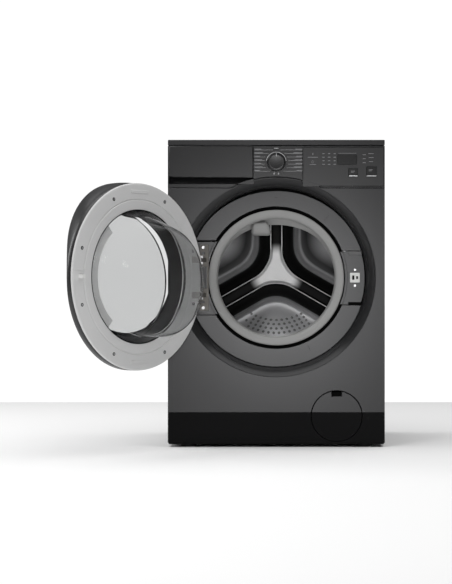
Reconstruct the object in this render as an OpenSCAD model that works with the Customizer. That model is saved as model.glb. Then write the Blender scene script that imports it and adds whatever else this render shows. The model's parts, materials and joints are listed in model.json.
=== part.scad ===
// Front load washing machine, door standing open.
// Origin: centre of the four feet, on the floor. +X right, +Y to the back, +Z up. Millimetres.

/* [Cabinet] */
// Width of the cabinet
cabinet_w = 600; // [596:1:604]
// Height over the worktop
cabinet_h = 850; // [848:1:860]
// Sheet steel thickness
sheet_t = 1.2; // [1:0.1:1.5]
// Thickness of the worktop
worktop_t = 16.2; // [14:0.1:18]
// Height of the plinth's top edge
plinth_top = 96; // [90:1:100]

/* [Porthole] */
// Height of the porthole's axis
port_z = 469; // [467:1:471]
// Radius of the ring where it meets the front
ring_r = 273.7; // [272:0.1:275]
// Radius of the recess floor
recess_r = 249.3; // [249:0.1:251]
// Depth of the recess floor behind the front
recess_depth = 27; // [26:1:28]

/* [Door] */
// Angle the door stands open at
door_open = 129.67; // [90:0.01:132]
// Radius of the door's rim
door_r = 247.5; // [246:0.1:248]
// Radius of the opening in the inner frame
door_hole_r = 177; // [176:0.5:180]
// Tilt of the door's front face
door_tilt = 6.4; // [5:0.1:7]

/* [Drum] */
// Height of the drum's axis
drum_z = 490; // [488:1:491]
// Inner radius of the drum
drum_r = 240; // [236:1:241]
// Radius of the drum pulley
pulley_r = 145; // [140:1:146]
// Radius of the motor pulley
motor_pulley_r = 11; // [10:0.5:12]

/* [Controls] */
// Radius of the programme knob
knob_r = 26; // [22:1:28]
// Travel of a button
button_travel = 1.5; // [1:0.1:2]

/* [Hidden] */
$fn = 96;
half_w = cabinet_w / 2;
front_y = -280;
back_y = 268;
body_bottom = 8;
panel_bottom = 716;
top_under = cabinet_h - worktop_t;
recess_y = front_y + recess_depth;
spring_x = 225;
spring_ys = [60, -100];
spring_bottom = 672;
spring_top = 744.5;
hinge_x = -241.1;
hinge_y = -301.3;
arm_zs = [port_z - 49, port_z + 49];
pin_r = 3;
frame_y = -256;
shell_side = 19;
face_depth = 67;
face_rise = 45;
face_r = 205;
window_r = 163;
tub_r = 256;
tub_flange_r = 261;
tub_front_y = -222;
tub_split_y = -30;
tub_back_y = 172;
shaft_r = 12.5;
motor_x = -110;
motor_z = 150;
belt_y = 206;
foot_x = 245;
foot_y = 220;
flap_x = 167;
flap_z = 86;
flap_r = 69.6;
flap_gap = 2;
flap_pivot_x = flap_x - flap_r + 3;
drawer_x0 = -297;
drawer_x1 = -64.5;
drawer_z0 = 745;
drawer_z1 = 832;
knob_z = 788;
display_x0 = 73.7;
display_x1 = 297.5;
buttons = [[200, 748, 25, 23.6], [249.4, 748, 27.4, 27.5]];
shadow = [0.09, 0.09, 0.095];
graphite = [0.2, 0.2, 0.21];
grey_rubber = [0.68, 0.68, 0.67];
steel = [0.75, 0.75, 0.76];
white_plastic = [0.85, 0.85, 0.85];

// ---------- helpers ----------

// A box from its lowest and highest corners.
module block(lo, hi) {
    translate(lo) cube([hi[0] - lo[0], hi[1] - lo[1], hi[2] - lo[2]]);
}

// Turns a profile of [radius, y] about a horizontal axis along Y at x, z.
module turned(points, x = 0, z = port_z) {
    translate([x, 0, z]) rotate([-90, 0, 0]) rotate_extrude($fn = 180) polygon(points);
}

// A round bar along Y from y0 to y1.
module bar_y(r, y0, y1, x = 0, z = 0) {
    translate([x, y0, z]) rotate([-90, 0, 0]) cylinder(r = r, h = y1 - y0);
}

// A round tube along Y.
module pipe_y(r_out, r_in, y0, y1, x = 0, z = 0) {
    difference() {
        bar_y(r_out, y0, y1, x, z);
        bar_y(r_in, y0 - 1, y1 + 1, x, z);
    }
}

// A polygon drawn in X and Z, thick from y0 to y1.
module plate_y(y0, y1) {
    translate([0, y1, 0]) rotate([90, 0, 0]) linear_extrude(y1 - y0) children();
}

function unit(v) = v / norm(v);
function side_of(v) = abs(v[2]) > 0.9 * norm(v) ? [1, 0, 0] : [0, 0, 1];

// A flexible tube of radius r that follows points, with n sides.
module swept(points, r, n = 8) {
    last = len(points) - 1;
    rings = [for (i = [0 : last]) let (
        d = unit(points[min(i + 1, last)] - points[max(i - 1, 0)]),
        a = unit(cross(d, side_of(d))),
        b = cross(d, a))
        for (k = [0 : n - 1]) points[i] + r * (cos(360 * k / n) * a + sin(360 * k / n) * b)];
    walls = [for (i = [0 : last - 1], k = [0 : n - 1])
        [i * n + k, i * n + (k + 1) % n, (i + 1) * n + (k + 1) % n, (i + 1) * n + k]];
    first_cap = [for (k = [0 : n - 1]) n - 1 - k];
    last_cap = [for (k = [0 : n - 1]) last * n + k];
    polyhedron(rings, concat(walls, [first_cap, last_cap]));
}

// Points on a smooth cubic curve between a and b, leaving along u and arriving along v.
function curve(a, u, b, v, n = 14) = [for (i = [0 : n]) let (t = i / n, s = 1 - t)
    s * s * s * a + 3 * s * s * t * (a + u) + 3 * s * t * t * (b - v) + t * t * t * b];

// ---------- cabinet ----------

module base_tray() {
    color(shadow) difference() {
        union() {
            difference() {
                block([-298, -275, body_bottom], [298, 266, 44]);
                block([-295, -272, body_bottom + 3], [295, 263, 45]);
            }
            for (sx = [-1, 1], sy = [-1, 1]) translate([sx * foot_x, sy * foot_y, body_bottom])
                cylinder(r = 20, h = 32);
        }
        for (sx = [-1, 1], sy = [-1, 1]) translate([sx * foot_x, sy * foot_y, 0])
            cylinder(r = 5.06, h = 60);
        bar_y(flap_r + flap_gap + 2.3, front_y, front_y + 30, flap_x, flap_z);
    }
}

module side_panel(s) {
    color(graphite) mirror([s < 0 ? 1 : 0, 0, 0]) {
        side_sheet();
        for (y = spring_ys) block([spring_x - 18, y - 15, spring_top + 2.5],
            [half_w - sheet_t + 0.4, y + 15, spring_top + 5.5]);
    }
}
module side_sheet() {
    difference() {
        block([half_w - 16, front_y + sheet_t, 12], [half_w, back_y, top_under]);
        block([half_w - 17, front_y, 44.2], [half_w - sheet_t, back_y - sheet_t, top_under - 1.2]);
        block([half_w - 17, front_y, 11], [half_w - sheet_t, back_y + 1, 44.3]);
        block([half_w - 17, front_y, panel_bottom], [half_w + 1, front_y + 22.3, top_under + 1]);
        block([half_w - 17, front_y, 11], [half_w + 1, front_y + 3.2, plinth_top]);
    }
}
module side_panel_left() { side_panel(-1); }
module side_panel_right() { side_panel(1); }

module rear_panel() {
    color(graphite) plate_y(back_y, back_y + sheet_t) difference() {
        translate([-half_w, 12]) square([cabinet_w, top_under - 12]);
        translate([0, drum_z]) circle(r = 160);
        for (sx = [-1, 1], sz = [-1, 1]) translate([sx * 200, drum_z + sz * 190]) circle(r = 6);
        translate([200, 790]) circle(r = 16);
        translate([-230, 770]) circle(r = 13);
        translate([235, 740]) circle(r = 8);
    }
}

module service_cover() {
    color(graphite) {
        turned([[0, 278.8], [148, 278.8], [156, back_y + sheet_t], [172, back_y + sheet_t],
            [172, back_y + 2 * sheet_t], [156.6, back_y + 2 * sheet_t], [148.6, 280], [0, 280]],
            0, drum_z);
    }
}

module front_outline() {
    difference() {
        union() {
            translate([-half_w, plinth_top]) square([cabinet_w, panel_bottom - plinth_top]);
            translate([0, port_z]) circle(r = ring_r + 3.8, $fn = 180);
        }
        translate([0, port_z]) circle(r = ring_r + 0.5, $fn = 180);
        translate([flap_x, flap_z]) circle(r = flap_r + flap_gap);
    }
}

module front_panel() {
    color(graphite) {
        plate_y(front_y, front_y + sheet_t) front_outline();
        difference() {
            turned([[ring_r + 0.6, front_y], [ring_r, front_y], [recess_r, recess_y],
                [197, recess_y], [197, recess_y + 8], [198.2, recess_y + 8],
                [198.2, recess_y + sheet_t], [recess_r + 1, recess_y + sheet_t],
                [ring_r + 0.6, front_y + sheet_t]]);
            block([-214, recess_y - 2, port_z - 104], [-167, recess_y + 10, port_z + 104]);
            block([189, recess_y - 2, port_z - 75], [245, recess_y + 10, port_z + 75]);
        }
        for (s = [-1, 1]) block([s * 297.5 - 1, front_y + sheet_t, 130],
            [s * 297.5 + 1, front_y + 14, 700]);
    }
}

module plinth() {
    color(shadow) {
        plate_y(front_y, front_y + 3) difference() {
            translate([-half_w, body_bottom + 4]) square([cabinet_w, plinth_top - body_bottom - 4]);
            translate([flap_x, flap_z]) circle(r = flap_r + flap_gap);
        }
        pipe_y(flap_r + flap_gap + 2, flap_r + flap_gap, front_y + 3, front_y + 24, flap_x, flap_z);
    }
}

module control_panel() {
    color(graphite) difference() {
        block([-half_w, front_y - 1, panel_bottom + 0.3], [half_w, front_y + 22, top_under]);
        block([-half_w + 2.5, front_y + 2, panel_bottom - 5],
            [half_w - 2.5, front_y + 23, top_under - 2.5]);
        bar_y(ring_r + 4.6, front_y - 5, front_y + 30, 0, port_z);
        block([drawer_x0 - 0.6, front_y - 5, drawer_z0 - 20],
            [drawer_x1 + 0.6, front_y + 5, drawer_z1 + 0.6]);
        block([display_x0, front_y - 5, 722], [display_x1, front_y + 5, 829]);
        bar_y(6, front_y - 5, front_y + 5, 0, knob_z);
    }
}

module display_window() {
    color([0.05, 0.05, 0.055]) difference() {
        block([display_x0 + 0.3, front_y - 1, 722.3], [display_x1 - 0.3, front_y + 2, 828.7]);
        bar_y(ring_r + 4.9, front_y - 5, front_y + 30, 0, port_z);
        for (b = buttons)
            block([b[0] - 0.5, front_y - 5, b[1] - 0.5], [b[0] + b[2] + 0.5, front_y + 5, b[1] + b[3] + 0.5]);
    }
}

module worktop() {
    color(graphite) difference() {
        block([-half_w, front_y - 1, top_under], [half_w, back_y + 4, cabinet_h]);
        block([-half_w + 18, front_y + 20, top_under - 1], [half_w - 18, back_y - 14, top_under + 4]);
    }
}

module top_braces() {
    color(steel) for (y = [-150, 110]) difference() {
        block([-half_w + 16.5, y - 20, top_under - 20], [half_w - 16.5, y + 20, top_under]);
        block([-half_w, y - 18.5, top_under - 18.5], [half_w, y + 18.5, top_under + 1]);
    }
}

module dispenser_housing() {
    color(white_plastic) difference() {
        union() {
            block([-290, -250, 751], [-68, 60, 812]);
            block([-200, 60, 770], [-170, 76, 800]);
        }
        block([-287, -251, 753.5], [-71, 50, 809]);
        bar_y(9, 45, 80, -185, 785);
        translate([-180, 20, 740]) cylinder(r = 14, h = 20);
    }
}

module inlet_valve() {
    color(white_plastic) {
        pipe_y(13.2, 8, back_y + sheet_t, back_y + 12, 200, 790);
        block([182, 245, 772], [218, back_y, 808]);
        bar_y(15, back_y, back_y + sheet_t, 200, 790);
        bar_y(9, 225, 245, 200, 790);
    }
}

module inlet_hose() {
    color([0.3, 0.3, 0.32]) swept(curve([200, 224.5, 790], [0, -160, 0],
        [-185, 76.5, 785], [0, -120, 0], 20), 8);
}

module drain_hoses() {
    color([0.2, 0.2, 0.22]) {
        swept(curve([0, 40, 202.2], [0, 0, -70], [flap_x - 38, -190, flap_z], [60, 0, 0], 18), 13, 10);
        swept(curve([flap_x + 5, -80, flap_z + 41], [0, 60, 60], [265, 200, 420], [0, 0, 160], 14), 11, 8);
        swept(curve([265, 200, 422], [0, 0, 260], [-230, 262, 770], [-120, 60, 0], 22), 11, 8);
    }
}

module drain_pump() {
    color(shadow) {
        bar_y(40, -148, -100, flap_x, flap_z);
        bar_y(26, -100, -45, flap_x, flap_z);
        block([flap_x - 46, -140, 11], [flap_x + 46, -110, 50]);
    }
}

module filter_housing() {
    color(shadow) {
        difference() {
            bar_y(36, -255, -148, flap_x, flap_z);
            bar_y(30.1, -256, -160, flap_x, flap_z);
        }
    }
}

module door_lock() {
    color(white_plastic) difference() {
        union() {
            block([210, recess_y + sheet_t + 0.1, port_z - 76], [246, recess_y + 4, port_z + 76]);
            block([210, recess_y + 4, port_z - 45], [246, recess_y + 26, port_z + 45]);
            block([205.5, recess_y - 1, port_z - 13.5], [232.5, recess_y + 2, port_z + 13.5]);
        }
        block([209, recess_y - 3, port_z - 8], [229, recess_y + 22, port_z + 8]);
    }
}

// A hinge arm reaches from the plate through the door's slot to the pivot.
module hinge_arm(z) {
    arm_w = 12;
    difference() {
        union() {
            translate([hinge_x, hinge_y, z - arm_w / 2]) cylinder(r = 7, h = arm_w);
            translate([hinge_x, hinge_y, z - arm_w / 2])
                rotate([0, 0, atan2(recess_y + 1 - hinge_y, -197 - hinge_x)])
                    translate([0, -5, 0]) cube([66, 10, arm_w]);
        }
        translate([hinge_x, hinge_y, z - 20]) cylinder(r = pin_r + 0.05, h = 40);
        block([-300, recess_y + 2, z - 20], [-150, recess_y + 30, z + 20]);
    }
}

module hinge_bracket() {
    color([0.72, 0.7, 0.66]) {
        difference() {
            block([-216, recess_y + sheet_t, port_z - 106], [-165, recess_y + 3.2, port_z + 106]);
            bar_y(199, recess_y - 5, recess_y + 20, 0, port_z);
        }
        difference() {
            block([-213, recess_y - 0.5, port_z - 92], [-184, recess_y + 1.2, port_z + 92]);
            bar_y(199, recess_y - 5, recess_y + 20, 0, port_z);
        }
        for (z = arm_zs) hinge_arm(z);
    }
}

module door_gasket() {
    color(grey_rubber) {
        turned([[196.5, recess_y + 0.5], [196.5, recess_y + 13], [172, recess_y + 13],
            [172, recess_y + 14.5], [164, recess_y + 14.5], [164, recess_y + 10],
            [170, recess_y + 4.5], [187.5, recess_y + 0.5]]);
        difference() {
            bar_y(208, recess_y + 9, recess_y + 13, 0, (port_z + drum_z) / 2);
            bar_y(170, recess_y - 5, recess_y + 20, 0, port_z);
        }
        pipe_y(196, 189, recess_y + 12, -226, 0, drum_z);
    }
}

module gasket_clamp() {
    color(steel) pipe_y(198.5, 196.3, -235, -230, 0, drum_z);
}

module control_board() {
    color([0.12, 0.3, 0.2]) {
        block([80, front_y + 14, 735], [290, front_y + 16, 822]);
        block([-50, front_y + 14, 760], [60, front_y + 16, 822]);
        block([160, -60, 790], [205, 80, 795]);
    }
}

damper_places = [[-150, -70], [150, 10], [150, 110]];
module damper_cylinders() {
    color(shadow) for (p = damper_places) translate([p[0], p[1], 11]) difference() {
        cylinder(r = 13, h = 143);
        translate([0, 0, 40]) cylinder(r = 9.05, h = 110);
    }
}

module damper_rods() {
    color(steel) for (p = damper_places) translate([p[0], p[1], 90]) {
        cylinder(r = 9, h = 30);
        cylinder(r = 5, h = 189);
    }
}

module suspension_springs() {
    turns = 9;
    steps = 12;
    rise = (spring_top - spring_bottom) / (turns * steps);
    color(steel) for (x = [-spring_x, spring_x], y = spring_ys) translate([x, y, 0]) swept(
        [for (i = [0 : turns * steps]) [11 * cos(360 * i / steps), 11 * sin(360 * i / steps),
            spring_bottom + rise * i]], 1.8, 6);
}

module cabinet_screws() {
    color(steel) {
        for (x = [-280, 280], z = [60, 250, 450, 650, 800]) translate([x, back_y + sheet_t, z])
            rotate([-90, 0, 0]) cylinder(r = 4, h = 2);
        for (k = [0 : 7]) translate([164 * cos(45 * k + 22.5), back_y + 2 * sheet_t,
            drum_z + 164 * sin(45 * k + 22.5)]) rotate([-90, 0, 0]) cylinder(r = 4, h = 2);
        for (z = [port_z - 22, port_z + 22]) bar_y(3.2, recess_y - 0.6, recess_y + sheet_t, 218.6, z);
        for (z = [port_z - 84, port_z + 84]) bar_y(4, recess_y - 2, recess_y - 0.5, -203, z);
    }
}

// ---------- tub ----------

// The lug that a suspension spring hooks into.
module spring_lug(s, y) {
    translate([s * 215, y, 654]) cube([40, 30, 29], center = true);
}

// The boss under the tub that takes the end of a damper's rod.
module damper_boss(p) {
    difference() {
        translate([p[0], p[1], 262]) cylinder(r = 11, h = 40);
        translate([p[0], p[1], 260]) cylinder(r = 5.02, h = 19.2);
        bar_y(tub_r - 1, -200, 200, 0, drum_z);
    }
}

module tub_front() {
    color([0.75, 0.76, 0.76]) {
        turned([[184, tub_front_y + 4], [184, -238], [188.7, -238], [188.7, tub_front_y],
            [tub_r, tub_front_y], [tub_r, tub_split_y - 8], [tub_flange_r, tub_split_y - 8],
            [tub_flange_r, tub_split_y], [tub_r - 4, tub_split_y],
            [tub_r - 4, tub_front_y + 4]], 0, drum_z);
        damper_boss(damper_places[0]);
        difference() {
            for (s = [-1, 1]) spring_lug(s, -100);
            bar_y(tub_r - 1, -200, 0, 0, drum_z);
        }
    }
}

module tub_rear() {
    color([0.75, 0.76, 0.76]) difference() {
        union() {
            turned([[tub_r - 4, tub_split_y], [tub_flange_r, tub_split_y],
                [tub_flange_r, tub_split_y + 8], [tub_r, tub_split_y + 8], [tub_r, tub_back_y], [60, tub_back_y], [52, 200],
                [31, 200], [31, tub_back_y - 4], [tub_r - 4, tub_back_y - 4]], 0, drum_z);
            difference() {
                block([-50, 0, 205], [50, tub_back_y, 250]);
                bar_y(tub_r - 3, -1, tub_back_y - 4, 0, drum_z);
            }
            for (s = [-1, 1]) spring_lug(s, 60);
            for (k = [1, 2]) damper_boss(damper_places[k]);
            for (k = [0 : 11]) translate([0, 0, drum_z]) rotate([0, 30 * k + 15, 0])
                block([60, tub_back_y - 1, -2], [tub_r - 8, tub_back_y + 10, 2]);
            for (x = [-150, -70]) block([x - 8, 80, 205], [x + 8, 100, 255]);
        }
        block([-46, 4, 209], [46, tub_back_y - 4, 260]);
        translate([0, 40, 190]) cylinder(r = 12, h = 40);
        block([-30, tub_back_y - 8, 213], [30, tub_back_y + 1, 232]);
        bar_y(tub_r - 4, -1, tub_back_y - 4, 0, drum_z);
    }
}

module upper_weight() {
    color([0.4, 0.4, 0.4]) difference() {
        block([-58, -135, 700], [150, 85, 796]);
        bar_y(tub_r + 0.2, -200, 200, 0, drum_z);
        bar_y(tub_flange_r + 0.3, tub_split_y - 9, tub_split_y + 9, 0, drum_z);
        block([-59, 88, 780], [151, 132, 800]);
    }
}

module front_weight() {
    color([0.4, 0.4, 0.4]) difference() {
        pipe_y(250, 222, -243, tub_front_y, 0, drum_z);
        block([-300, -260, 380], [300, -200, drum_z + 300]);
    }
}

module heater() {
    color(steel) {
        for (s = [-1, 1]) bar_y(4, 28, tub_back_y - 8, s * 18, 222);
        translate([0, 28, 222]) rotate([0, 0, 180]) rotate_extrude(angle = 180) translate([18, 0])
            circle(r = 4, $fn = 24);
        block([-30, tub_back_y - 8, 213], [30, tub_back_y + 2, 232]);
        for (s = [-1, 1]) block([s * 18 - 3, tub_back_y + 2, 219], [s * 18 + 3, tub_back_y + 16, 225]);
    }
}

module drum_bearings() {
    color(steel) {
        pipe_y(31, shaft_r + 0.05, 168, 169.6, 0, drum_z);
        pipe_y(31, shaft_r + 0.05, 170, 184, 0, drum_z);
        pipe_y(31, shaft_r + 0.05, 188, 200, 0, drum_z);
    }
}

module motor() {
    color([0.3, 0.3, 0.32]) {
        difference() {
            bar_y(60, 60, 180, motor_x, motor_z);
            bar_y(8.05, 50, 190, motor_x, motor_z);
        }
        difference() {
            for (x = [-150, -70]) block([x - 10, 81, 190], [x + 10, 99, 205]);
            bar_y(59, 50, 190, motor_x, motor_z);
        }
    }
}

// The belt's loop around both pulleys, grown by g.
module belt_loop(g) {
    hull() {
        translate([0, drum_z]) circle(r = pulley_r + g);
        translate([motor_x, motor_z]) circle(r = motor_pulley_r + g, $fn = 32);
    }
}
module drive_belt() {
    color(shadow) plate_y(belt_y + 1, belt_y + 15) difference() {
        belt_loop(3.4);
        belt_loop(0.4);
    }
}

// ---------- drum ----------

module drum_shell() {
    color(steel) difference() {
        turned([[drum_r, 150], [drum_r + 1.5, 150], [drum_r + 1.5, -212], [190, -216],
            [190, -200], [191.5, -200], [191.5, -214.3], [drum_r, -210.4]], 0, drum_z);
        for (k = [0 : 5]) translate([0, 0, drum_z]) rotate([0, 60 * k + 10, 0])
            for (y = [-150 : 90 : 120]) translate([0, y, 0])
                cylinder(r = 3, h = drum_r + 5, $fn = 16);
    }
}

module drum_back() {
    color(steel) turned([[shaft_r + 0.3, 146], [50, 148], [60, 149], [drum_r, 149], [drum_r, 147.5],
        [62, 147.5], [50, 144], [shaft_r + 0.3, 143]], 0, drum_z);
}

module drum_lifters() {
    color(white_plastic) for (k = [0 : 2]) translate([0, 0, drum_z]) rotate([0, 120 * k + 30, 0])
        hull() {
            block([drum_r - 3, -190, -30], [drum_r - 2, 130, 30]);
            block([drum_r - 45, -160, -8], [drum_r - 43, 110, 8]);
        }
}

module drum_spider() {
    color([0.6, 0.6, 0.61]) difference() {
        union() {
            for (k = [0 : 2]) translate([0, 0, drum_z]) rotate([0, 120 * k - 90, 0])
                block([0, 149.3, -16], [drum_r - 4, 159, 16]);
            bar_y(29, 149.2, 166, 0, drum_z);
        }
        bar_y(shaft_r + 0.02, 100, 200, 0, drum_z);
        bar_y(36, 158.9, 167.8, 0, drum_z);
    }
}

module drum_shaft() {
    color(steel) {
        bar_y(shaft_r, 140, 228, 0, drum_z);
        bar_y(9, 228, 236, 0, drum_z);
    }
}

module drum_pulley() {
    color([0.6, 0.6, 0.61]) difference() {
        union() {
            pipe_y(pulley_r, pulley_r - 8, belt_y, belt_y + 16, 0, drum_z);
            bar_y(26, belt_y, belt_y + 16, 0, drum_z);
            for (k = [0 : 4]) translate([0, 0, drum_z]) rotate([0, 72 * k, 0])
                block([20, belt_y + 4, -9], [pulley_r - 4, belt_y + 11, 9]);
        }
        bar_y(shaft_r + 0.02, 200, 240, 0, drum_z);
    }
}

module motor_pulley() {
    color(steel) {
        bar_y(8, 100, belt_y, motor_x, motor_z);
        bar_y(motor_pulley_r, belt_y, belt_y + 16, motor_x, motor_z);
    }
}

// ---------- door ----------

// Everything inside stands in the closed door's place and is swung open.
module swung() {
    translate([hinge_x, hinge_y, 0]) rotate([0, 0, -door_open]) translate([-hinge_x, -hinge_y, 0])
        children();
}

// The plane of the door's front face, with local z pointing out of it.
module on_face() {
    translate([0, frame_y - face_depth, port_z]) rotate([90 - door_tilt, 0, 0]) children();
}

// Slots that the hinge arms pass through.
module arm_slots(z_gap = 9) {
    for (z = arm_zs) block([-262, -313, z - z_gap], [-190, frame_y + 5, z + z_gap]);
}

// The shell's outer or inner form: a rim wall and a cone leaning up to the tilted face.
module shell_form(inset) {
    hull() {
        bar_y(door_r - inset, frame_y - shell_side, frame_y - shell_side + 0.5, 0, port_z);
        on_face() translate([0, face_rise, -inset - 1]) cylinder(r = face_r - inset, h = 1, $fn = 64);
    }
}

module door_outer_shell() {
    color(graphite) swung() difference() {
        union() {
            shell_form(0);
            bar_y(door_r, frame_y - shell_side, frame_y - 4, 0, port_z);
            block([-252, -315, port_z - 70], [-200, frame_y - shell_side + 4, port_z + 70]);
        }
        shell_form(3);
        block([-250, -313, port_z - 68], [-198, frame_y - shell_side, port_z + 68]);
        bar_y(door_r - 3, frame_y - shell_side - 0.5, frame_y, 0, port_z);
        on_face() translate([0, 8, -30]) cylinder(r = window_r + 0.3, h = 60);
        arm_slots();
    }
}

module door_inner_frame() {
    color([0.82, 0.82, 0.82]) swung() difference() {
        union() {
            turned([[door_hole_r, frame_y], [door_r - 2, frame_y], [door_r, frame_y - 2],
                [door_r, frame_y - 4], [door_r - 3.2, frame_y - 4], [door_r - 3.2, frame_y - 16],
                [door_r - 6, frame_y - 16], [door_r - 6, frame_y - 5],
                [202, frame_y - 5], [202, frame_y - 3], [door_hole_r, frame_y - 3]]);
        }
        arm_slots();
        block([213, frame_y - 10, port_z - 12], [234, frame_y + 1, port_z + 12]);
        for (a = [19, 64.4], sx = [-1, 1], sz = [-1, 1])
            bar_y(1.9, frame_y - 10, frame_y + 1, sx * 223 * cos(a), port_z + sz * 223 * sin(a));
    }
}

module door_bowl() {
    color([0.8, 0.85, 0.86, 0.5]) swung() turned([[196, frame_y - 3.2], [172, frame_y - 3.2],
        [172, frame_y + 3], [161, frame_y + 9], [156.5, frame_y + 20], [148, frame_y + 60],
        [138, frame_y + 86], [130, frame_y + 95], [0, frame_y + 100], [0, frame_y + 96],
        [128, frame_y + 91], [134, frame_y + 84], [144, frame_y + 58], [152.5, frame_y + 19],
        [156.5, frame_y + 7], [167, frame_y], [167, frame_y - 7], [196, frame_y - 7]]);
}

module door_window_cover() {
    color([0.8, 0.85, 0.86, 0.4]) swung() on_face() translate([0, 8, -4.5])
        cylinder(r = window_r, h = 3.5);
}

module door_screws() {
    color(steel) swung() for (a = [19, 64.4], sx = [-1, 1], sz = [-1, 1])
        translate([sx * 223 * cos(a), 0, port_z + sz * 223 * sin(a)]) {
            bar_y(1.8, frame_y - 12, frame_y - 0.2);
        }
}

module door_hinge_lugs() {
    color(steel) swung() difference() {
        union() {
            for (z = arm_zs, s = [-1, 1]) translate([hinge_x + 1.5, hinge_y, z + s * 12.6 - 2.4]) {
                cylinder(r = 6, h = 4.8);
                block([-2, 0, 0], [30, 6, 4.8]);
                block([24, 0, 0], [30, 39, 4.8]);
            }
        }
        for (z = arm_zs) translate([hinge_x, hinge_y, z - 30]) cylinder(r = pin_r, h = 60);
    }
    color(steel) swung() for (z = arm_zs) translate([hinge_x, hinge_y, z - 16])
        cylinder(r = pin_r, h = 32);
}

module latch_hook() {
    color([0.8, 0.8, 0.8]) swung() difference() {
        union() {
            block([217, frame_y - 9, port_z - 5], [223, frame_y + 14, port_z + 5]);
            block([213, frame_y + 8, port_z - 5], [223, frame_y + 14, port_z + 5]);
            translate([220, frame_y - 9, port_z - 9]) cylinder(r = 4, h = 18);
        }
        translate([220, frame_y - 9, port_z - 20]) cylinder(r = 1.5, h = 40);
    }
}

// ---------- detergent drawer, controls ----------

module drawer_front() {
    color(graphite) difference() {
        block([drawer_x0, front_y - 2, drawer_z0], [drawer_x1, front_y + 4, drawer_z1]);
        translate([0, front_y - 2, drawer_z0]) rotate([35, 0, 0])
            block([drawer_x0 - 1, -10, -20], [drawer_x1 + 1, 0, 0]);
    }
}

module drawer_tray() {
    color(white_plastic) difference() {
        block([-284, front_y + 4, 754.5], [-74, 40, 806]);
        for (x = [[-281, -220], [-217, -140], [-137, -77]])
            block([x[0], front_y + 7, 757], [x[1], 36, 808]);
    }
}

module siphon_caps() {
    color([0.3, 0.45, 0.7]) for (x = [-250, -107]) translate([x, 0, 757]) {
        cylinder(r = 9, h = 40);
        cylinder(r = 14, h = 4);
    }
}

module programme_knob() {
    color(graphite) {
        bar_y(knob_r, front_y - 19, front_y - 1.4, 0, knob_z);
        bar_y(5.9, front_y - 1.4, front_y + 13.5, 0, knob_z);
    }
}

module button(b) {
    color([0.25, 0.25, 0.26]) {
        block([b[0], front_y - 1.5, b[1]], [b[0] + b[2], front_y + 3.5, b[1] + b[3]]);
        bar_y(3, front_y + 3.5, front_y + 12, b[0] + b[2] / 2, b[1] + b[3] / 2);
    }
}
module button_start() { button(buttons[0]); }
module button_option() { button(buttons[1]); }

module filter_flap() {
    color(shadow) {
        difference() {
            bar_y(flap_r, front_y, front_y + 3, flap_x, flap_z);
            block([flap_x - 14, front_y - 1, flap_z + 55], [flap_x + 14, front_y + 4, flap_z + 80]);
        }
        translate([flap_pivot_x, front_y + 1.5, flap_z - 18]) cylinder(r = 1.2, h = 36);
    }
}

module filter_plug() {
    color([0.2, 0.2, 0.22]) {
        bar_y(30, -262, -170, flap_x, flap_z);
        block([flap_x - 26, -272, flap_z - 5], [flap_x + 26, -262, flap_z + 5]);
    }
}

module foot(x, y) {
    color(shadow) translate([x, y, 0]) {
        cylinder(r = 21, h = 5);
        cylinder(r = 9, h = 7.7, $fn = 6);
        cylinder(r = 5, h = 52);
    }
}
module foot_front_left() { foot(-foot_x, -foot_y); }
module foot_front_right() { foot(foot_x, -foot_y); }
module foot_rear_left() { foot(-foot_x, foot_y); }
module foot_rear_right() { foot(foot_x, foot_y); }

// ---------- the nodes ----------

base_tray();
side_panel_left();
side_panel_right();
rear_panel();
service_cover();
front_panel();
plinth();
control_panel();
display_window();
worktop();
top_braces();
dispenser_housing();
inlet_valve();
inlet_hose();
drain_hoses();
drain_pump();
filter_housing();
door_lock();
hinge_bracket();
door_gasket();
gasket_clamp();
control_board();
damper_cylinders();
damper_rods();
suspension_springs();
cabinet_screws();
tub_front();
tub_rear();
upper_weight();
front_weight();
heater();
drum_bearings();
motor();
drive_belt();
drum_shell();
drum_back();
drum_lifters();
drum_spider();
drum_shaft();
drum_pulley();
motor_pulley();
door_outer_shell();
door_inner_frame();
door_bowl();
door_window_cover();
door_screws();
door_hinge_lugs();
latch_hook();
drawer_front();
drawer_tray();
siphon_caps();
programme_knob();
button_start();
button_option();
filter_flap();
filter_plug();
foot_front_left();
foot_front_right();
foot_rear_left();
foot_rear_right();
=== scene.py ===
import json
import math

import bmesh
import bpy
from bpy.props import FloatProperty, FloatVectorProperty, IntProperty, PointerProperty
from mathutils import Matrix, Vector


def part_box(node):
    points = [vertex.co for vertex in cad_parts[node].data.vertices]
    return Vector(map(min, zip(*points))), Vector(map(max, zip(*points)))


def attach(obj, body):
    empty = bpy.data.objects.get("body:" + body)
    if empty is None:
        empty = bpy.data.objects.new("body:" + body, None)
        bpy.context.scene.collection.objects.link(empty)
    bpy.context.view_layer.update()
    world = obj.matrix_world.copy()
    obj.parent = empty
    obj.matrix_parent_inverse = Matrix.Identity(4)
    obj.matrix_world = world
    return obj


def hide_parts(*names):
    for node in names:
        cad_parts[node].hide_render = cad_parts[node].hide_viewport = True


bl_info = {
    "name": "Front Load Washer",
    "version": (1, 0, 0),
    "blender": (4, 5, 0),
    "location": "View3D > Sidebar > Washer",
    "description": "Builds the visible pieces, finishes and stage of a front load washing machine",
    "category": "Object",
}

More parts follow.
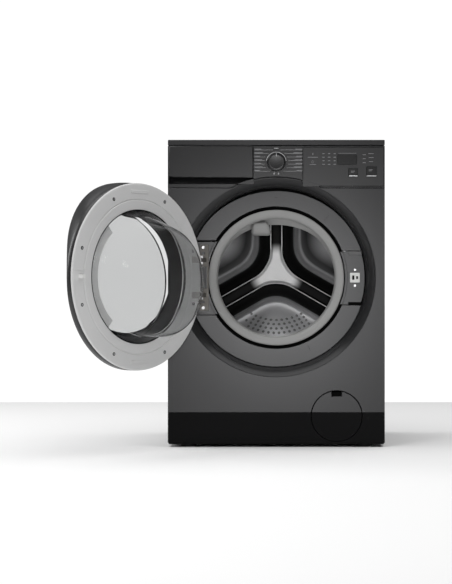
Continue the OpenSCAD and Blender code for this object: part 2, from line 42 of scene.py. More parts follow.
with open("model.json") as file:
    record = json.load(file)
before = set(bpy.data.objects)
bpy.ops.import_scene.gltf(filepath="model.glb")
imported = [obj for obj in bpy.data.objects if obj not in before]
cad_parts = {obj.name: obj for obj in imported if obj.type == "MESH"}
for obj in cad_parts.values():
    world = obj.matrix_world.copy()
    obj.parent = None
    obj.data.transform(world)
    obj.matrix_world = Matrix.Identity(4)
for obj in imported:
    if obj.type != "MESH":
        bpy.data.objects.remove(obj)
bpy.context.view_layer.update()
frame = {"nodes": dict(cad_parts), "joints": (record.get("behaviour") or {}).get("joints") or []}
MM = 0.001
SPAN = 180


def joint_named(name):
    """One joint of the frame by its name."""
    return next(j for j in frame["joints"] if j["name"] == name)


HINGE = Vector(joint_named("door_hinge")["pos_m"])
OPEN_ANGLE = math.radians(joint_named("door_hinge")["range_deg"][1])
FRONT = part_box("front_panel")[0].y
HALF_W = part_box("worktop")[1].x
TOP_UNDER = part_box("worktop")[0].z
PORT_Z = HINGE.z
DRUM_Z = joint_named("drum_spin")["pos_m"][2]
DRUM_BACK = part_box("drum_back")[0].y
RING = (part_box("front_panel")[1].z - PORT_Z) - 3.8 * MM
FLAP_LOW, FLAP_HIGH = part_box("filter_flap")
FLAP_Z = (FLAP_LOW.z + FLAP_HIGH.z) / 2
FLAP_RADIUS = 69.6 * MM
FLAP_OPENING = 71.6 * MM
FLAP_X = FLAP_HIGH.x - FLAP_RADIUS
PLINTH_TOP = 96 * MM
PANEL_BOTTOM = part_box("control_panel")[0].z
DRAWER_LOW, DRAWER_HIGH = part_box("drawer_front")
DISPLAY_LOW, DISPLAY_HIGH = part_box("display_window")
KNOB_LOW, KNOB_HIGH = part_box("programme_knob")
KNOB_Z = (KNOB_LOW.z + KNOB_HIGH.z) / 2
FRAME_Y = -0.256
SHEET = 1.2 * MM


# ---------- properties ----------

def length(name, text, value, low=0.0, high=2.0):
    """A length property in metres."""
    return FloatProperty(name=name, description=text, default=value, min=low, max=high,
                         subtype="DISTANCE", unit="LENGTH")


def colour(name, text, value):
    """A linear colour property."""
    return FloatVectorProperty(name=name, description=text, default=value, min=0.0, max=1.0,
                               size=3, subtype="COLOR")


class WasherSizes(bpy.types.PropertyGroup):
    ring: length("Ring radius", "Radius of the ring where it meets the front", RING)
    recess: length("Recess radius", "Radius of the recess floor round the porthole", 0.2493)
    recess_depth: length("Recess depth", "How far the recess floor lies behind the front", 0.027)
    gasket: length("Gasket radius", "Outer radius of the gasket's visible ring", 0.1885)
    mouth: length("Mouth radius", "Radius of the opening through the gasket", 0.164)
    rim: length("Door rim radius", "Outer radius of the door", 0.2475)
    rim_wall: length("Door rim wall", "Thickness of the door's straight rim", 0.019)
    face: length("Door face radius", "Radius of the door's front face", 0.1984)
    face_depth: length("Door face depth", "Depth of the front face at the porthole's height", 0.063)
    face_rise: length("Door face rise", "How far the front face's centre is above the rim's", 0.05)
    face_slope: FloatProperty(name="Door face slope", description="Lean of the door's front face",
                              default=0.1122, min=0.0, max=0.3)
    pane: length("Door pane radius", "Radius of the clear cover in the door's front", 0.163)
    frame_hole: length("Door opening", "Radius of the opening in the inner frame", 0.177)
    arm_count: IntProperty(name="Star arms", description="Arms pressed into the drum's back",
                           default=3, min=2, max=5)


class WasherColours(bpy.types.PropertyGroup):
    graphite: colour("Graphite", "Painted steel of the cabinet", (0.024, 0.024, 0.0252))
    plinth: colour("Plinth", "Dark plastic of the plinth", (0.006, 0.006, 0.0063))
    panel: colour("Control panel", "Plastic of the control panel", (0.013, 0.013, 0.0138))
    light: colour("Door frame", "Light plastic of the door's inner frame", (0.64, 0.64, 0.64))
    seal: colour("Gasket", "Rubber of the gasket", (0.31, 0.31, 0.306))
    steel: colour("Stainless", "Stainless steel of the drum", (0.55, 0.55, 0.56))
    print_white: colour("Print", "Marks printed on the panel", (0.55, 0.55, 0.56))


def sizes():
    return bpy.context.scene.washer_sizes


def colours():
    return bpy.context.scene.washer_colours


# ---------- shader node groups ----------

def new_group(name, inputs, outputs):
    group = bpy.data.node_groups.new(name, "ShaderNodeTree")
    for socket, kind, value in inputs:
        made = group.interface.new_socket(name=socket, in_out="INPUT", socket_type=kind)
        made.default_value = value
    for socket, kind in outputs:
        group.interface.new_socket(name=socket, in_out="OUTPUT", socket_type=kind)
    return group, group.nodes.new("NodeGroupInput"), group.nodes.new("NodeGroupOutput")


def node(tree, kind, **settings):
    made = tree.nodes.new(kind)
    for key, value in settings.items():
        setattr(made, key, value)
    return made


def grain_group():
    """Fine moulded or painted grain: a tinted colour, a varied roughness and a bump height."""
    found = bpy.data.node_groups.get("surface_grain")
    if found:
        return found
    tree, inside, outside = new_group(
        "surface_grain",
        [("Colour", "NodeSocketColor", (0.5, 0.5, 0.5, 1)), ("Scale", "NodeSocketFloat", 900.0),
         ("Roughness", "NodeSocketFloat", 0.4), ("Spread", "NodeSocketFloat", 0.08),
         ("Tint", "NodeSocketFloat", 0.1)],
        [("Colour", "NodeSocketColor"), ("Roughness", "NodeSocketFloat"),
         ("Height", "NodeSocketFloat")])
    link = tree.links.new
    place = node(tree, "ShaderNodeTexCoord")
    fine = node(tree, "ShaderNodeTexNoise")
    fine.inputs["Detail"].default_value = 2.0
    broad = node(tree, "ShaderNodeTexNoise")
    broad.inputs["Scale"].default_value = 7.0
    broad.inputs["Detail"].default_value = 3.0
    link(place.outputs["Object"], fine.inputs["Vector"])
    link(place.outputs["Object"], broad.inputs["Vector"])
    link(inside.outputs["Scale"], fine.inputs["Scale"])
    centred = node(tree, "ShaderNodeMath", operation="SUBTRACT")
    centred.inputs[1].default_value = 0.5
    link(broad.outputs["Fac"], centred.inputs[0])
    spread = node(tree, "ShaderNodeMath", operation="MULTIPLY_ADD")
    link(centred.outputs[0], spread.inputs[0])
    link(inside.outputs["Spread"], spread.inputs[1])
    link(inside.outputs["Roughness"], spread.inputs[2])
    link(spread.outputs[0], outside.inputs["Roughness"])
    tint = node(tree, "ShaderNodeMath", operation="MULTIPLY_ADD")
    tint.inputs[2].default_value = 1.0
    link(centred.outputs[0], tint.inputs[0])
    link(inside.outputs["Tint"], tint.inputs[1])
    shade = node(tree, "ShaderNodeVectorMath", operation="SCALE")
    link(inside.outputs["Colour"], shade.inputs[0])
    link(tint.outputs[0], shade.inputs["Scale"])
    link(shade.outputs[0], outside.inputs["Colour"])
    link(fine.outputs["Fac"], outside.inputs["Height"])
    return tree


def brush_group():
    """Lines of a brushed or rolled metal, along one direction set by Stretch."""
    found = bpy.data.node_groups.get("brushed_lines")
    if found:
        return found
    tree, inside, outside = new_group(
        "brushed_lines",
        [("Stretch", "NodeSocketVector", (30.0, 900.0, 900.0)),
         ("Roughness", "NodeSocketFloat", 0.25), ("Spread", "NodeSocketFloat", 0.2)],
        [("Roughness", "NodeSocketFloat"), ("Height", "NodeSocketFloat")])
    link = tree.links.new
    place = node(tree, "ShaderNodeTexCoord")
    scale = node(tree, "ShaderNodeVectorMath", operation="MULTIPLY")
    noise = node(tree, "ShaderNodeTexNoise")
    noise.inputs["Scale"].default_value = 1.0
    noise.inputs["Detail"].default_value = 3.0
    link(place.outputs["Object"], scale.inputs[0])
    link(inside.outputs["Stretch"], scale.inputs[1])
    link(scale.outputs[0], noise.inputs["Vector"])
    centred = node(tree, "ShaderNodeMath", operation="SUBTRACT")
    centred.inputs[1].default_value = 0.5
    rough = node(tree, "ShaderNodeMath", operation="MULTIPLY_ADD")
    link(noise.outputs["Fac"], centred.inputs[0])
    link(centred.outputs[0], rough.inputs[0])
    link(inside.outputs["Spread"], rough.inputs[1])
    link(inside.outputs["Roughness"], rough.inputs[2])
    link(rough.outputs[0], outside.inputs["Roughness"])
    link(noise.outputs["Fac"], outside.inputs["Height"])
    return tree


LOOK = "washer_"


def blank_material(name):
    """A new material with its node tree and its shader."""
    material = bpy.data.materials.new(LOOK + name)
    material.use_nodes = True
    tree = material.node_tree
    return material, tree, tree.nodes["Principled BSDF"]


def bump_into(tree, height, bsdf, distance, strength=1.0):
    bump = node(tree, "ShaderNodeBump")
    bump.inputs["Distance"].default_value = distance
    bump.inputs["Strength"].default_value = strength
    tree.links.new(height, bump.inputs["Height"])
    tree.links.new(bump.outputs["Normal"], bsdf.inputs["Normal"])


def grained(name, base, roughness, grain=900.0, depth=0.00002, metallic=0.0, coat=0.0,
            spread=0.08, tint=0.1, strength=0.35, specular=0.5):
    """A moulded plastic, rubber or paint with fine grain."""
    found = bpy.data.materials.get(LOOK + name)
    if found:
        return found
    material, tree, bsdf = blank_material(name)
    group = node(tree, "ShaderNodeGroup", node_tree=grain_group())
    group.inputs["Colour"].default_value = (*base, 1)
    group.inputs["Scale"].default_value = grain
    group.inputs["Roughness"].default_value = roughness
    group.inputs["Spread"].default_value = spread
    group.inputs["Tint"].default_value = tint
    tree.links.new(group.outputs["Colour"], bsdf.inputs["Base Color"])
    tree.links.new(group.outputs["Roughness"], bsdf.inputs["Roughness"])
    bsdf.inputs["Metallic"].default_value = metallic
    bsdf.inputs["Coat Weight"].default_value = coat
    bsdf.inputs["Coat Roughness"].default_value = 0.12
    bsdf.inputs["Specular IOR Level"].default_value = specular
    bump_into(tree, group.outputs["Height"], bsdf, depth, strength)
    return material


def brushed(name, base, roughness, stretch=(30.0, 900.0, 900.0), spread=0.2, depth=0.00001):
    """A rolled or brushed metal."""
    found = bpy.data.materials.get(LOOK + name)
    if found:
        return found
    material, tree, bsdf = blank_material(name)
    group = node(tree, "ShaderNodeGroup", node_tree=brush_group())
    group.inputs["Stretch"].default_value = stretch
    group.inputs["Roughness"].default_value = roughness
    group.inputs["Spread"].default_value = spread
    tree.links.new(group.outputs["Roughness"], bsdf.inputs["Roughness"])
    bsdf.inputs["Base Color"].default_value = (*base, 1)
    bsdf.inputs["Metallic"].default_value = 1.0
    bump_into(tree, group.outputs["Height"], bsdf, depth, 0.3)
    return material


def clear_glass(name, tint=(0.72, 0.724, 0.724), roughness=0.02):
    """Glass or clear plastic, with a faint smear in its roughness."""
    found = bpy.data.materials.get(LOOK + name)
    if found:
        return found
    material, tree, bsdf = blank_material(name)
    group = node(tree, "ShaderNodeGroup", node_tree=grain_group())
    group.inputs["Colour"].default_value = (*tint, 1)
    group.inputs["Scale"].default_value = 60.0
    group.inputs["Roughness"].default_value = roughness
    group.inputs["Spread"].default_value = 0.02
    group.inputs["Tint"].default_value = 0.01
    tree.links.new(group.outputs["Colour"], bsdf.inputs["Base Color"])
    tree.links.new(group.outputs["Roughness"], bsdf.inputs["Roughness"])
    bsdf.inputs["Metallic"].default_value = 0.0
    bsdf.inputs["Transmission Weight"].default_value = 1.0
    bsdf.inputs["IOR"].default_value = 1.1
    return material


def graphite_paint():
    return grained("graphite_paint", colours().graphite, 0.25, 1400.0, 0.000004, 0.35, spread=0.03)


def panel_plastic():
    return grained("panel_plastic", colours().panel, 0.25, 1600.0, 0.000004, 0.25, spread=0.03)


def plinth_plastic():
    return grained("plinth_plastic", colours().plinth, 0.4, 1100.0, 0.00001, specular=0.04)


# near-black finish: real seams and gaps, and also painted shade in grooves, slots and notches
def gap_and_painted_shade():
    return grained("gap_and_painted_shade", (0.002, 0.002, 0.002), 0.8, specular=0.05)


def gloss_black():
    return grained("gloss_black", (0.006, 0.006, 0.0065), 0.22, 300.0, 0.000002, spread=0.02,
                   specular=0.35)


def light_plastic():
    return grained("light_plastic", colours().light, 0.42, 1300.0, 0.00001, 0.0, 0.0, 0.08, 0.03)


def white_plastic():
    return grained("white_plastic", (0.72, 0.72, 0.71), 0.45, 900.0, 0.00002, tint=0.05)


def seal_rubber():
    return grained("seal_rubber", colours().seal, 0.5, 1000.0, 0.00003, tint=0.08)


def black_rubber():
    return grained("black_rubber", (0.02, 0.02, 0.02), 0.65, 800.0, 0.00004)


def stainless():
    return brushed("stainless", colours().steel, 0.3)


def zinc():
    return brushed("zinc_steel", (0.2, 0.19, 0.175), 0.55, (300.0, 300.0, 60.0), 0.25)


def print_ink():
    return grained("print_ink", colours().print_white, 0.5, 800.0, 0.000005, tint=0.1)


# ---------- mesh helpers ----------

FLAT_NORMAL = 0.99995

def finish_piece(name, bm, body, material, replaces=(), sharp=28.0, transform=None,
                 recalc=True):
    """Writes a bmesh to an object with its place in its mesh, shades it, and makes it ride."""
    bmesh.ops.remove_doubles(bm, verts=bm.verts, dist=1e-6)
    if recalc:
        bmesh.ops.recalc_face_normals(bm, faces=bm.faces)
    bm.normal_update()
    smooth = [max(abs(part) for part in face.normal) < FLAT_NORMAL for face in bm.faces]
    if transform is not None:
        bmesh.ops.transform(bm, matrix=transform, verts=bm.verts)
    mesh = bpy.data.meshes.new(name)
    bm.to_mesh(mesh)
    bm.free()
    mesh.set_sharp_from_angle(angle=math.radians(sharp))
    mesh.polygons.foreach_set("use_smooth", smooth)
    piece = bpy.data.objects.new(name, mesh)
    bpy.context.scene.collection.objects.link(piece)
    mesh.materials.append(material)
    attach(piece, body)
    if replaces:
        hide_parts(*replaces)
    return piece


def spin_profile(bm, points, centre=(0.0, PORT_Z), steps=SPAN, closed=True):
    """Turns a profile of (radius, y) about an axis along Y through centre (x, z)."""
    own = bmesh.new()
    verts = [own.verts.new((centre[0] + r, y, centre[1])) for r, y in points]
    last = len(verts) if closed else len(verts) - 1
    edges = [own.edges.new((verts[i], verts[(i + 1) % len(verts)])) for i in range(last)]
    bmesh.ops.spin(own, geom=verts + edges, cent=(centre[0], 0, centre[1]), axis=(0, 1, 0),
                   dvec=(0, 0, 0), angle=math.tau, steps=steps, use_merge=True,
                   use_duplicate=False)
    bmesh.ops.remove_doubles(own, verts=own.verts, dist=1e-6)
    join(bm, own)


def arc(cx, cz, radius, start, end, count):
    """Points on an arc in the XZ plane, angles in degrees from +X towards +Z."""
    turn = [math.radians(start + (end - start) * i / count) for i in range(count + 1)]
    return [(cx + radius * math.cos(a), cz + radius * math.sin(a)) for a in turn]


def rounded(x0, z0, x1, z1, r, count=6):
    """A rectangle's outline with round corners."""
    return (arc(x1 - r, z1 - r, r, 0, 90, count) + arc(x0 + r, z1 - r, r, 90, 180, count)
            + arc(x0 + r, z0 + r, r, 180, 270, count) + arc(x1 - r, z0 + r, r, 270, 360, count))


def plate_mesh(loops, y_front, y_back, edge=0.0008):
    """A flat plate in the XZ plane with holes and softened edges, as a bmesh."""
    curve = bpy.data.curves.new("outline", "CURVE")
    curve.dimensions = "2D"
    curve.fill_mode = "BOTH"
    for loop in loops:
        spline = curve.splines.new("POLY")
        spline.points.add(len(loop) - 1)
        for point, (x, z) in zip(spline.points, loop):
            point.co = (x, z, 0, 1)
        spline.use_cyclic_u = True
    thick = y_back - y_front
    edge = min(edge, thick * 0.45)
    curve.bevel_depth = edge
    curve.bevel_resolution = 2
    curve.extrude = thick / 2 - edge
    curve.offset = -edge
    holder = bpy.data.objects.new("outline", curve)
    bpy.context.scene.collection.objects.link(holder)
    bpy.context.view_layer.update()
    graph = bpy.context.evaluated_depsgraph_get()
    mesh = bpy.data.meshes.new_from_object(holder.evaluated_get(graph))
    bm = bmesh.new()
    bm.from_mesh(mesh)
    bpy.data.objects.remove(holder)
    bpy.data.meshes.remove(mesh)
    middle = Matrix.Translation((0, (y_front + y_back) / 2, 0))
    bmesh.ops.transform(bm, matrix=middle @ Matrix.Rotation(math.pi / 2, 4, "X"), verts=bm.verts)
    return bm


def join(target, source):
    """Adds one bmesh to another."""
    mesh = bpy.data.meshes.new("part")
    source.to_mesh(mesh)
    source.free()
    target.from_mesh(mesh)
    bpy.data.meshes.remove(mesh)


def plate(name, loops, y_front, y_back, body, material, replaces=(), edge=0.0008,
          transform=None):
    bm = plate_mesh(loops, y_front, y_back, edge)
    return finish_piece(name, bm, body, material, replaces, transform=transform)


def soft_box(bm, low, high, edge=0.001, segments=3):
    """A box with rounded edges added to bm."""
    low, high = Vector(low), Vector(high)
    made = bmesh.ops.create_cube(bm, size=1.0)
    size = high - low
    place = Matrix.Translation((low + high) / 2) @ Matrix.Diagonal((*size, 1))
    bmesh.ops.transform(bm, matrix=place, verts=made["verts"])
    edges = {e for v in made["verts"] for e in v.link_edges}
    bmesh.ops.bevel(bm, geom=list(edges), offset=min(edge, min(size) * 0.45), segments=segments,
                    profile=0.5, affect="EDGES", material=-1)


def rod(bm, centre, radius, y0, y1, steps=32, edge=0.0006):
    """A round bar along Y with softened ends, added to bm."""
    points = [(0, y0), (radius - edge, y0), (radius, y0 + edge), (radius, y1 - edge),
              (radius - edge, y1), (0, y1)]
    spin_profile(bm, points, centre, steps, closed=False)


def loft(bm, rings, closed_end=False):
    """Bridges rings of equal count, each a list of points."""
    loops = []
    for ring in rings:
        verts = [bm.verts.new(p) for p in ring]
        loops.append([bm.edges.new((verts[i], verts[(i + 1) % len(verts)]))
                      for i in range(len(verts))])
    for first, second in zip(loops, loops[1:]):
        bmesh.ops.bridge_loops(bm, edges=first + second)
    if closed_end:
        bmesh.ops.contextual_create(bm, geom=loops[-1])


def swing():
    """Turns a piece modelled on the closed door to where the door stands open."""
    return (Matrix.Translation(HINGE) @ Matrix.Rotation(-OPEN_ANGLE, 4, "Z")
            @ Matrix.Translation(-HINGE))


def coat_nodes(material, *names):
    """Gives carried-over CAD nodes a finish."""
    for name in names:
        mesh = frame["nodes"][name].data
        mesh.materials.clear()
        mesh.materials.append(material)
        for face in mesh.polygons:
            face.material_index = 0


# ---------- the front ----------

def ring_outline(radius, cx=0.0, cz=None, count=192):
    """A full circle in the XZ plane."""
    return arc(cx, PORT_Z if cz is None else cz, radius, 0, 360 * (1 - 1 / count), count - 1)


def build_front_panel():
    """The front sheet round the ring, with the chamfer into the recess."""
    s = sizes()
    lip = s.ring + 0.0038
    half_arc = math.degrees(math.asin((PANEL_BOTTOM - PORT_Z) / lip))
    side = math.sqrt(FLAP_OPENING ** 2 - (PLINTH_TOP - FLAP_Z) ** 2)
    low = math.degrees(math.atan2(PLINTH_TOP - FLAP_Z, side))
    outer = ([(HALF_W, PLINTH_TOP), (HALF_W, PANEL_BOTTOM)]
             + arc(0, PORT_Z, lip, half_arc, 180 - half_arc, 60)
             + [(-HALF_W, PANEL_BOTTOM), (-HALF_W, PLINTH_TOP)]
             + arc(FLAP_X, FLAP_Z, FLAP_OPENING, 180 - low, low, 40))
    bm = plate_mesh([outer, ring_outline(s.ring + 0.0012)], FRONT, FRONT + 0.003, 0.0009)
    floor_y = FRONT + s.recess_depth
    spin_profile(bm, [(s.ring + 0.0016, FRONT + 0.0004), (s.ring + 0.0006, FRONT),
                      (s.ring - 0.0006, FRONT + 0.0006), (s.recess + 0.001, floor_y - 0.001),
                      (s.recess, floor_y + 0.001), (s.recess, floor_y + 0.008),
                      (s.recess + 0.0015, floor_y + 0.008), (s.ring + 0.0016, FRONT + 0.003)])
    finish_piece("front_panel_skin", bm, "cabinet", graphite_paint(),
                 ("front_panel",))


def build_recess():
    """The floor of the recess in two curved halves, its two sunk pockets and the dark groove."""
    s = sizes()
    floor_y = FRONT + s.recess_depth
    outer, inner = s.recess - 0.0012, 0.1972
    left_up, left_down = 0.1035, -0.1045
    right_up, right_down = 0.0745, -0.0765

    def angle(z, radius):
        return math.degrees(math.asin(z / radius))

    # the outer edge draws in towards the top to bare a near-black ring behind it: a painted shadow
    # under the chamfer's top
    def painted_shadow_edge(start, end, count):
        points = []
        for i in range(count + 1):
            a = math.radians(start + (end - start) * i / count)
            r = outer - 0.0068 * max(math.sin(a), 0) ** 3
            points.append((r * math.cos(a), PORT_Z + r * math.sin(a)))
        return points

    upper = (painted_shadow_edge(angle(right_up, outer), 180 - angle(left_up, outer), 90)
             + arc(0, PORT_Z, inner, 180 - angle(left_up, inner), angle(right_up, inner), 80))
    lower = (arc(0, PORT_Z, outer, angle(right_down, outer), -180 - angle(left_down, outer), 90)
             + arc(0, PORT_Z, inner, -180 - angle(left_down, inner), angle(right_down, inner), 80))
    bm = plate_mesh([upper], floor_y, floor_y + 0.006, 0.0011)
    join(bm, plate_mesh([lower], floor_y, floor_y + 0.006, 0.0011))
    finish_piece("recess_floor", bm, "cabinet", graphite_paint())
    pocket = (arc(0, PORT_Z, outer - 0.002, angle(right_down, outer), angle(right_up, outer), 24)
              + arc(0, PORT_Z, inner - 0.006, angle(right_up, inner), angle(right_down, inner), 24))
    plate("lock_pocket", [pocket], floor_y + 0.0034, floor_y + 0.006, "cabinet",
          graphite_paint())
    pocket = (arc(0, PORT_Z, outer - 0.002, 180 - angle(left_up, outer),
                  180 - angle(left_down, outer), 24)
              + arc(0, PORT_Z, inner - 0.006, 180 - angle(left_down, inner),
                    180 - angle(left_up, inner), 24))
    plate("hinge_pocket", [pocket], floor_y + 0.0034, floor_y + 0.006, "cabinet",
          graphite_paint())
    # near-black rings and strips: painted shadow round the gasket, under the chamfer's top, under
    # the lock pocket and along the hinge pocket's top edge
    bm = bmesh.new()
    spin_profile(bm, [(0.1868, floor_y + 0.009), (0.1974, floor_y + 0.009),
                      (0.1974, floor_y + 0.0012), (0.1982, floor_y + 0.0012),
                      (0.1982, floor_y + 0.0105), (0.1868, floor_y + 0.0105)])
    spin_profile(bm, [(0.238, floor_y + 0.0062), (0.249, floor_y + 0.0062),
                      (0.249, floor_y + 0.0075), (0.238, floor_y + 0.0075)])
    for low, high, x0, x1 in ((right_down + 0.0002, right_down + 0.0085, 0.2, 0.2375),
                              (left_up - 0.0045, left_up - 0.0004, -0.2262, -0.1705)):
        soft_box(bm, (x0, floor_y + 0.0022, PORT_Z + low), (x1, floor_y + 0.0038, PORT_Z + high),
                 0.0004)
    finish_piece("recess_painted_shadows", bm, "cabinet", gap_and_painted_shade())
    # lighter copy of the graphite on the lock pocket's top edge and the hinge pocket's bottom edge:
    # painted highlights of walls lit from above
    bm = bmesh.new()
    for low, high, x0, x1 in ((right_up - 0.012, right_up - 0.0006, 0.2, 0.2375),
                              (left_down + 0.0005, left_down + 0.0035, -0.2262, -0.1705)):
        soft_box(bm, (x0, floor_y + 0.0012, PORT_Z + low), (x1, floor_y + 0.0038, PORT_Z + high),
                 0.001)
    finish_piece("pocket_painted_highlights", bm, "cabinet",
                 grained("ledge_painted_highlight", (0.075, 0.075, 0.077), 0.35, 1400.0, 0.000004, 0.2))
    bm = bmesh.new()
    for degrees, r0, r1 in ((90, 0.2225, 0.2229), (50, 0.207, 0.227), (-65, 0.208, 0.224)):
        a = math.radians(degrees)
        turn = Matrix.Rotation(-a, 4, "Y")
        mark = bmesh.new()
        wide = 0.004 if degrees == 90 else 0.0004
        soft_box(mark, (r0, floor_y - 0.0001, -wide), (r1 + 0.0004, floor_y + 0.001, wide),
                 0.0001, 1)
        place = Matrix.Translation((0, 0, PORT_Z)) @ turn
        bmesh.ops.transform(mark, matrix=place, verts=mark.verts)
        join(bm, mark)
    finish_piece("recess_seams", bm, "cabinet", gap_and_painted_shade())


def build_lock_face():
    """The lock's light socket, its two slots and its screws on the sunk pocket."""
    floor_y = FRONT + sizes().recess_depth
    x, z, half = 0.2186, PORT_Z, 0.0135
    bm = plate_mesh([rounded(x - half, z - half, x + half, z + half, 0.002),
                     rounded(x - 0.0075, z - 0.006, x - 0.0015, z + 0.006, 0.001),
                     rounded(x + 0.0035, z - 0.004, x + 0.0085, z + 0.004, 0.001)],
                    floor_y - 0.0006, floor_y + 0.0036, 0.0006)
    soft_box(bm, (0.211, floor_y + 0.0065, z - 0.045), (0.2455, floor_y + 0.0255, z + 0.045))
    finish_piece("lock_socket", bm, "cabinet", white_plastic(), ("door_lock",))
    # a near-black plate behind the socket's slots: painted shade inside the slots
    bm = bmesh.new()
    soft_box(bm, (x - 0.012, floor_y + 0.002, z - 0.012), (x + 0.012, floor_y + 0.0035, z + 0.012))
    finish_piece("lock_slot_painted_shade", bm, "cabinet", gap_and_painted_shade())
    bm = bmesh.new()
    for dz in (-0.022, 0.022):
        rod(bm, (x, z + dz), 0.0032, floor_y + 0.0012, floor_y + 0.004)
    finish_piece("lock_screws", bm, "cabinet", stainless())


def build_hinge():
    """The hinge plate with its screws and windows, and the two arms that hold the door."""
    floor_y = FRONT + sizes().recess_depth
    z = PORT_Z
    bm = plate_mesh([rounded(-0.2135, z - 0.092, -0.188, z + 0.092, 0.005),
                     rounded(-0.2075, z + 0.064, -0.1985, z + 0.072, 0.001),
                     rounded(-0.2075, z - 0.071, -0.1995, z - 0.065, 0.001),
                     rounded(-0.206, z - 0.03, -0.193, z + 0.03, 0.002)],
                    floor_y + 0.0002, floor_y + 0.003, 0.0008)
    foot = Vector((-0.197, floor_y + 0.001))
    reach = foot - HINGE.xy
    turn = Matrix.Rotation(math.atan2(reach.y, reach.x), 4, "Z")
    for side in (-1, 1):
        level = z + side * 0.049
        arm = bmesh.new()
        soft_box(arm, (0.004, -0.0045, -0.0055), (reach.length, 0.0045, 0.0055), 0.0015)
        ring = bmesh.new()
        spin_profile(ring, [(0.00305, -0.0055), (0.0068, -0.0055), (0.0068, 0.0055),
                            (0.00305, 0.0055)], (0, 0), 32)
        bmesh.ops.rotate(ring, verts=ring.verts, matrix=Matrix.Rotation(math.pi / 2, 3, "X"))
        join(arm, ring)
        place = Matrix.Translation((HINGE.x, HINGE.y, level)) @ turn
        bmesh.ops.transform(arm, matrix=place, verts=arm.verts)
        join(bm, arm)
    finish_piece("hinge_plate", bm, "cabinet", zinc(), ("hinge_bracket",))
    bm = bmesh.new()
    for dz in (-0.084, 0.084):
        rod(bm, (-0.203, z + dz), 0.0045, floor_y - 0.0016, floor_y + 0.001)
    for dz in (-0.049, 0.049):
        soft_box(bm, (-0.2105, floor_y - 0.0022, z + dz - 0.012),
                 (-0.2035, floor_y + 0.001, z + dz + 0.012), 0.001)
    finish_piece("hinge_plate_screws", bm, "cabinet", stainless())
    coat_nodes(zinc(), "door_hinge_lugs")


def build_gasket():
    """The grey bellows: a flat front ring, a rounded lip and a drooping fold behind it."""
    s = sizes()
    y = FRONT + s.recess_depth
    mouth, out = s.mouth, s.gasket
    profile = [(out - 0.001, y + 0.009), (out, y + 0.004), (out - 0.001, y + 0.0012),
               (out - 0.004, y + 0.0004), (mouth + 0.009, y + 0.001), (mouth + 0.004, y + 0.003),
               (mouth + 0.001, y + 0.007), (mouth, y + 0.013), (mouth + 0.002, y + 0.02),
               (mouth + 0.006, y + 0.025), (mouth + 0.008, y + 0.03), (mouth + 0.004, y + 0.036),
               (mouth - 0.001, y + 0.042), (mouth - 0.0005, y + 0.05), (mouth + 0.005, y + 0.054),
               (mouth + 0.02, y + 0.056), (mouth + 0.02, y + 0.05), (mouth + 0.018, y + 0.012)]
    bm = bmesh.new()
    spin_profile(bm, profile, (0, PORT_Z), 216)
    for vert in bm.verts:
        back = min(max((vert.co.y - y - 0.03) / 0.012, 0), 1)
        up = max(vert.co.z - PORT_Z, 0) / mouth
        side = abs(vert.co.x) / mouth
        droop = 0.015 * back * up ** 2 * (1 - 0.35 * side ** 2)
        vert.co.z -= droop if vert.co.z > PORT_Z else 0
    gasket = finish_piece("door_gasket_bellows", bm, "cabinet", seal_rubber(),
                          ("door_gasket",), sharp=60)
    bm = bmesh.new()
    soft_box(bm, (-0.068, y + 0.012, PORT_Z + 0.118), (-0.022, y + 0.05, PORT_Z + 0.156), 0.012, 5)
    for vert in bm.verts:
        low = (PORT_Z + 0.156 - vert.co.z) / 0.038
        vert.co.x += 0.01 * low * (1 if vert.co.x > -0.045 else -0.2)
        vert.co.y += 0.012 * low
    finish_piece("gasket_spout", bm, "cabinet", seal_rubber(), sharp=60)
    return gasket


STAR_BLEND = 0.057
CHANNEL_HALF = 0.0165
ARM_HALF = 0.0525


def smooth_least(a, b):
    """The smaller of two lengths, rounded where they are close, as the shader's node does it."""
    near = max(STAR_BLEND - abs(a - b), 0) / STAR_BLEND
    return min(a, b) - near ** 3 * STAR_BLEND / 6


def star_aside(x, z):
    """How far a point on the drum's back lies from the nearest arm's middle line."""
    least = None
    for k in range(sizes().arm_count):
        a = math.radians(90 + 360 / sizes().arm_count * k)
        along = max(x * math.cos(a) + z * math.sin(a), 0)
        aside = math.hypot(x - along * math.cos(a), z - along * math.sin(a))
        least = aside if least is None else smooth_least(least, aside)
    return least


def ease(value, start, end):
    """A smooth step from 0 to 1 between start and end."""
    t = min(max((value - start) / (end - start), 0), 1)
    return t * t * (3 - 2 * t)


def star_depth(x, z):
    """How far the pressed star stands forward of the drum's back at a point."""
    aside = star_aside(x, z)
    dish = 0.012 * ease(aside, ARM_HALF, ARM_HALF + 0.016)
    dish += 0.016 * ease(aside, ARM_HALF + 0.02, ARM_HALF + 0.1)
    rim = 0.003 * math.exp(-((aside - CHANNEL_HALF) / 0.0035) ** 2)
    return dish - 0.004 * ease(aside, CHANNEL_HALF + 0.004, ARM_HALF) + rim


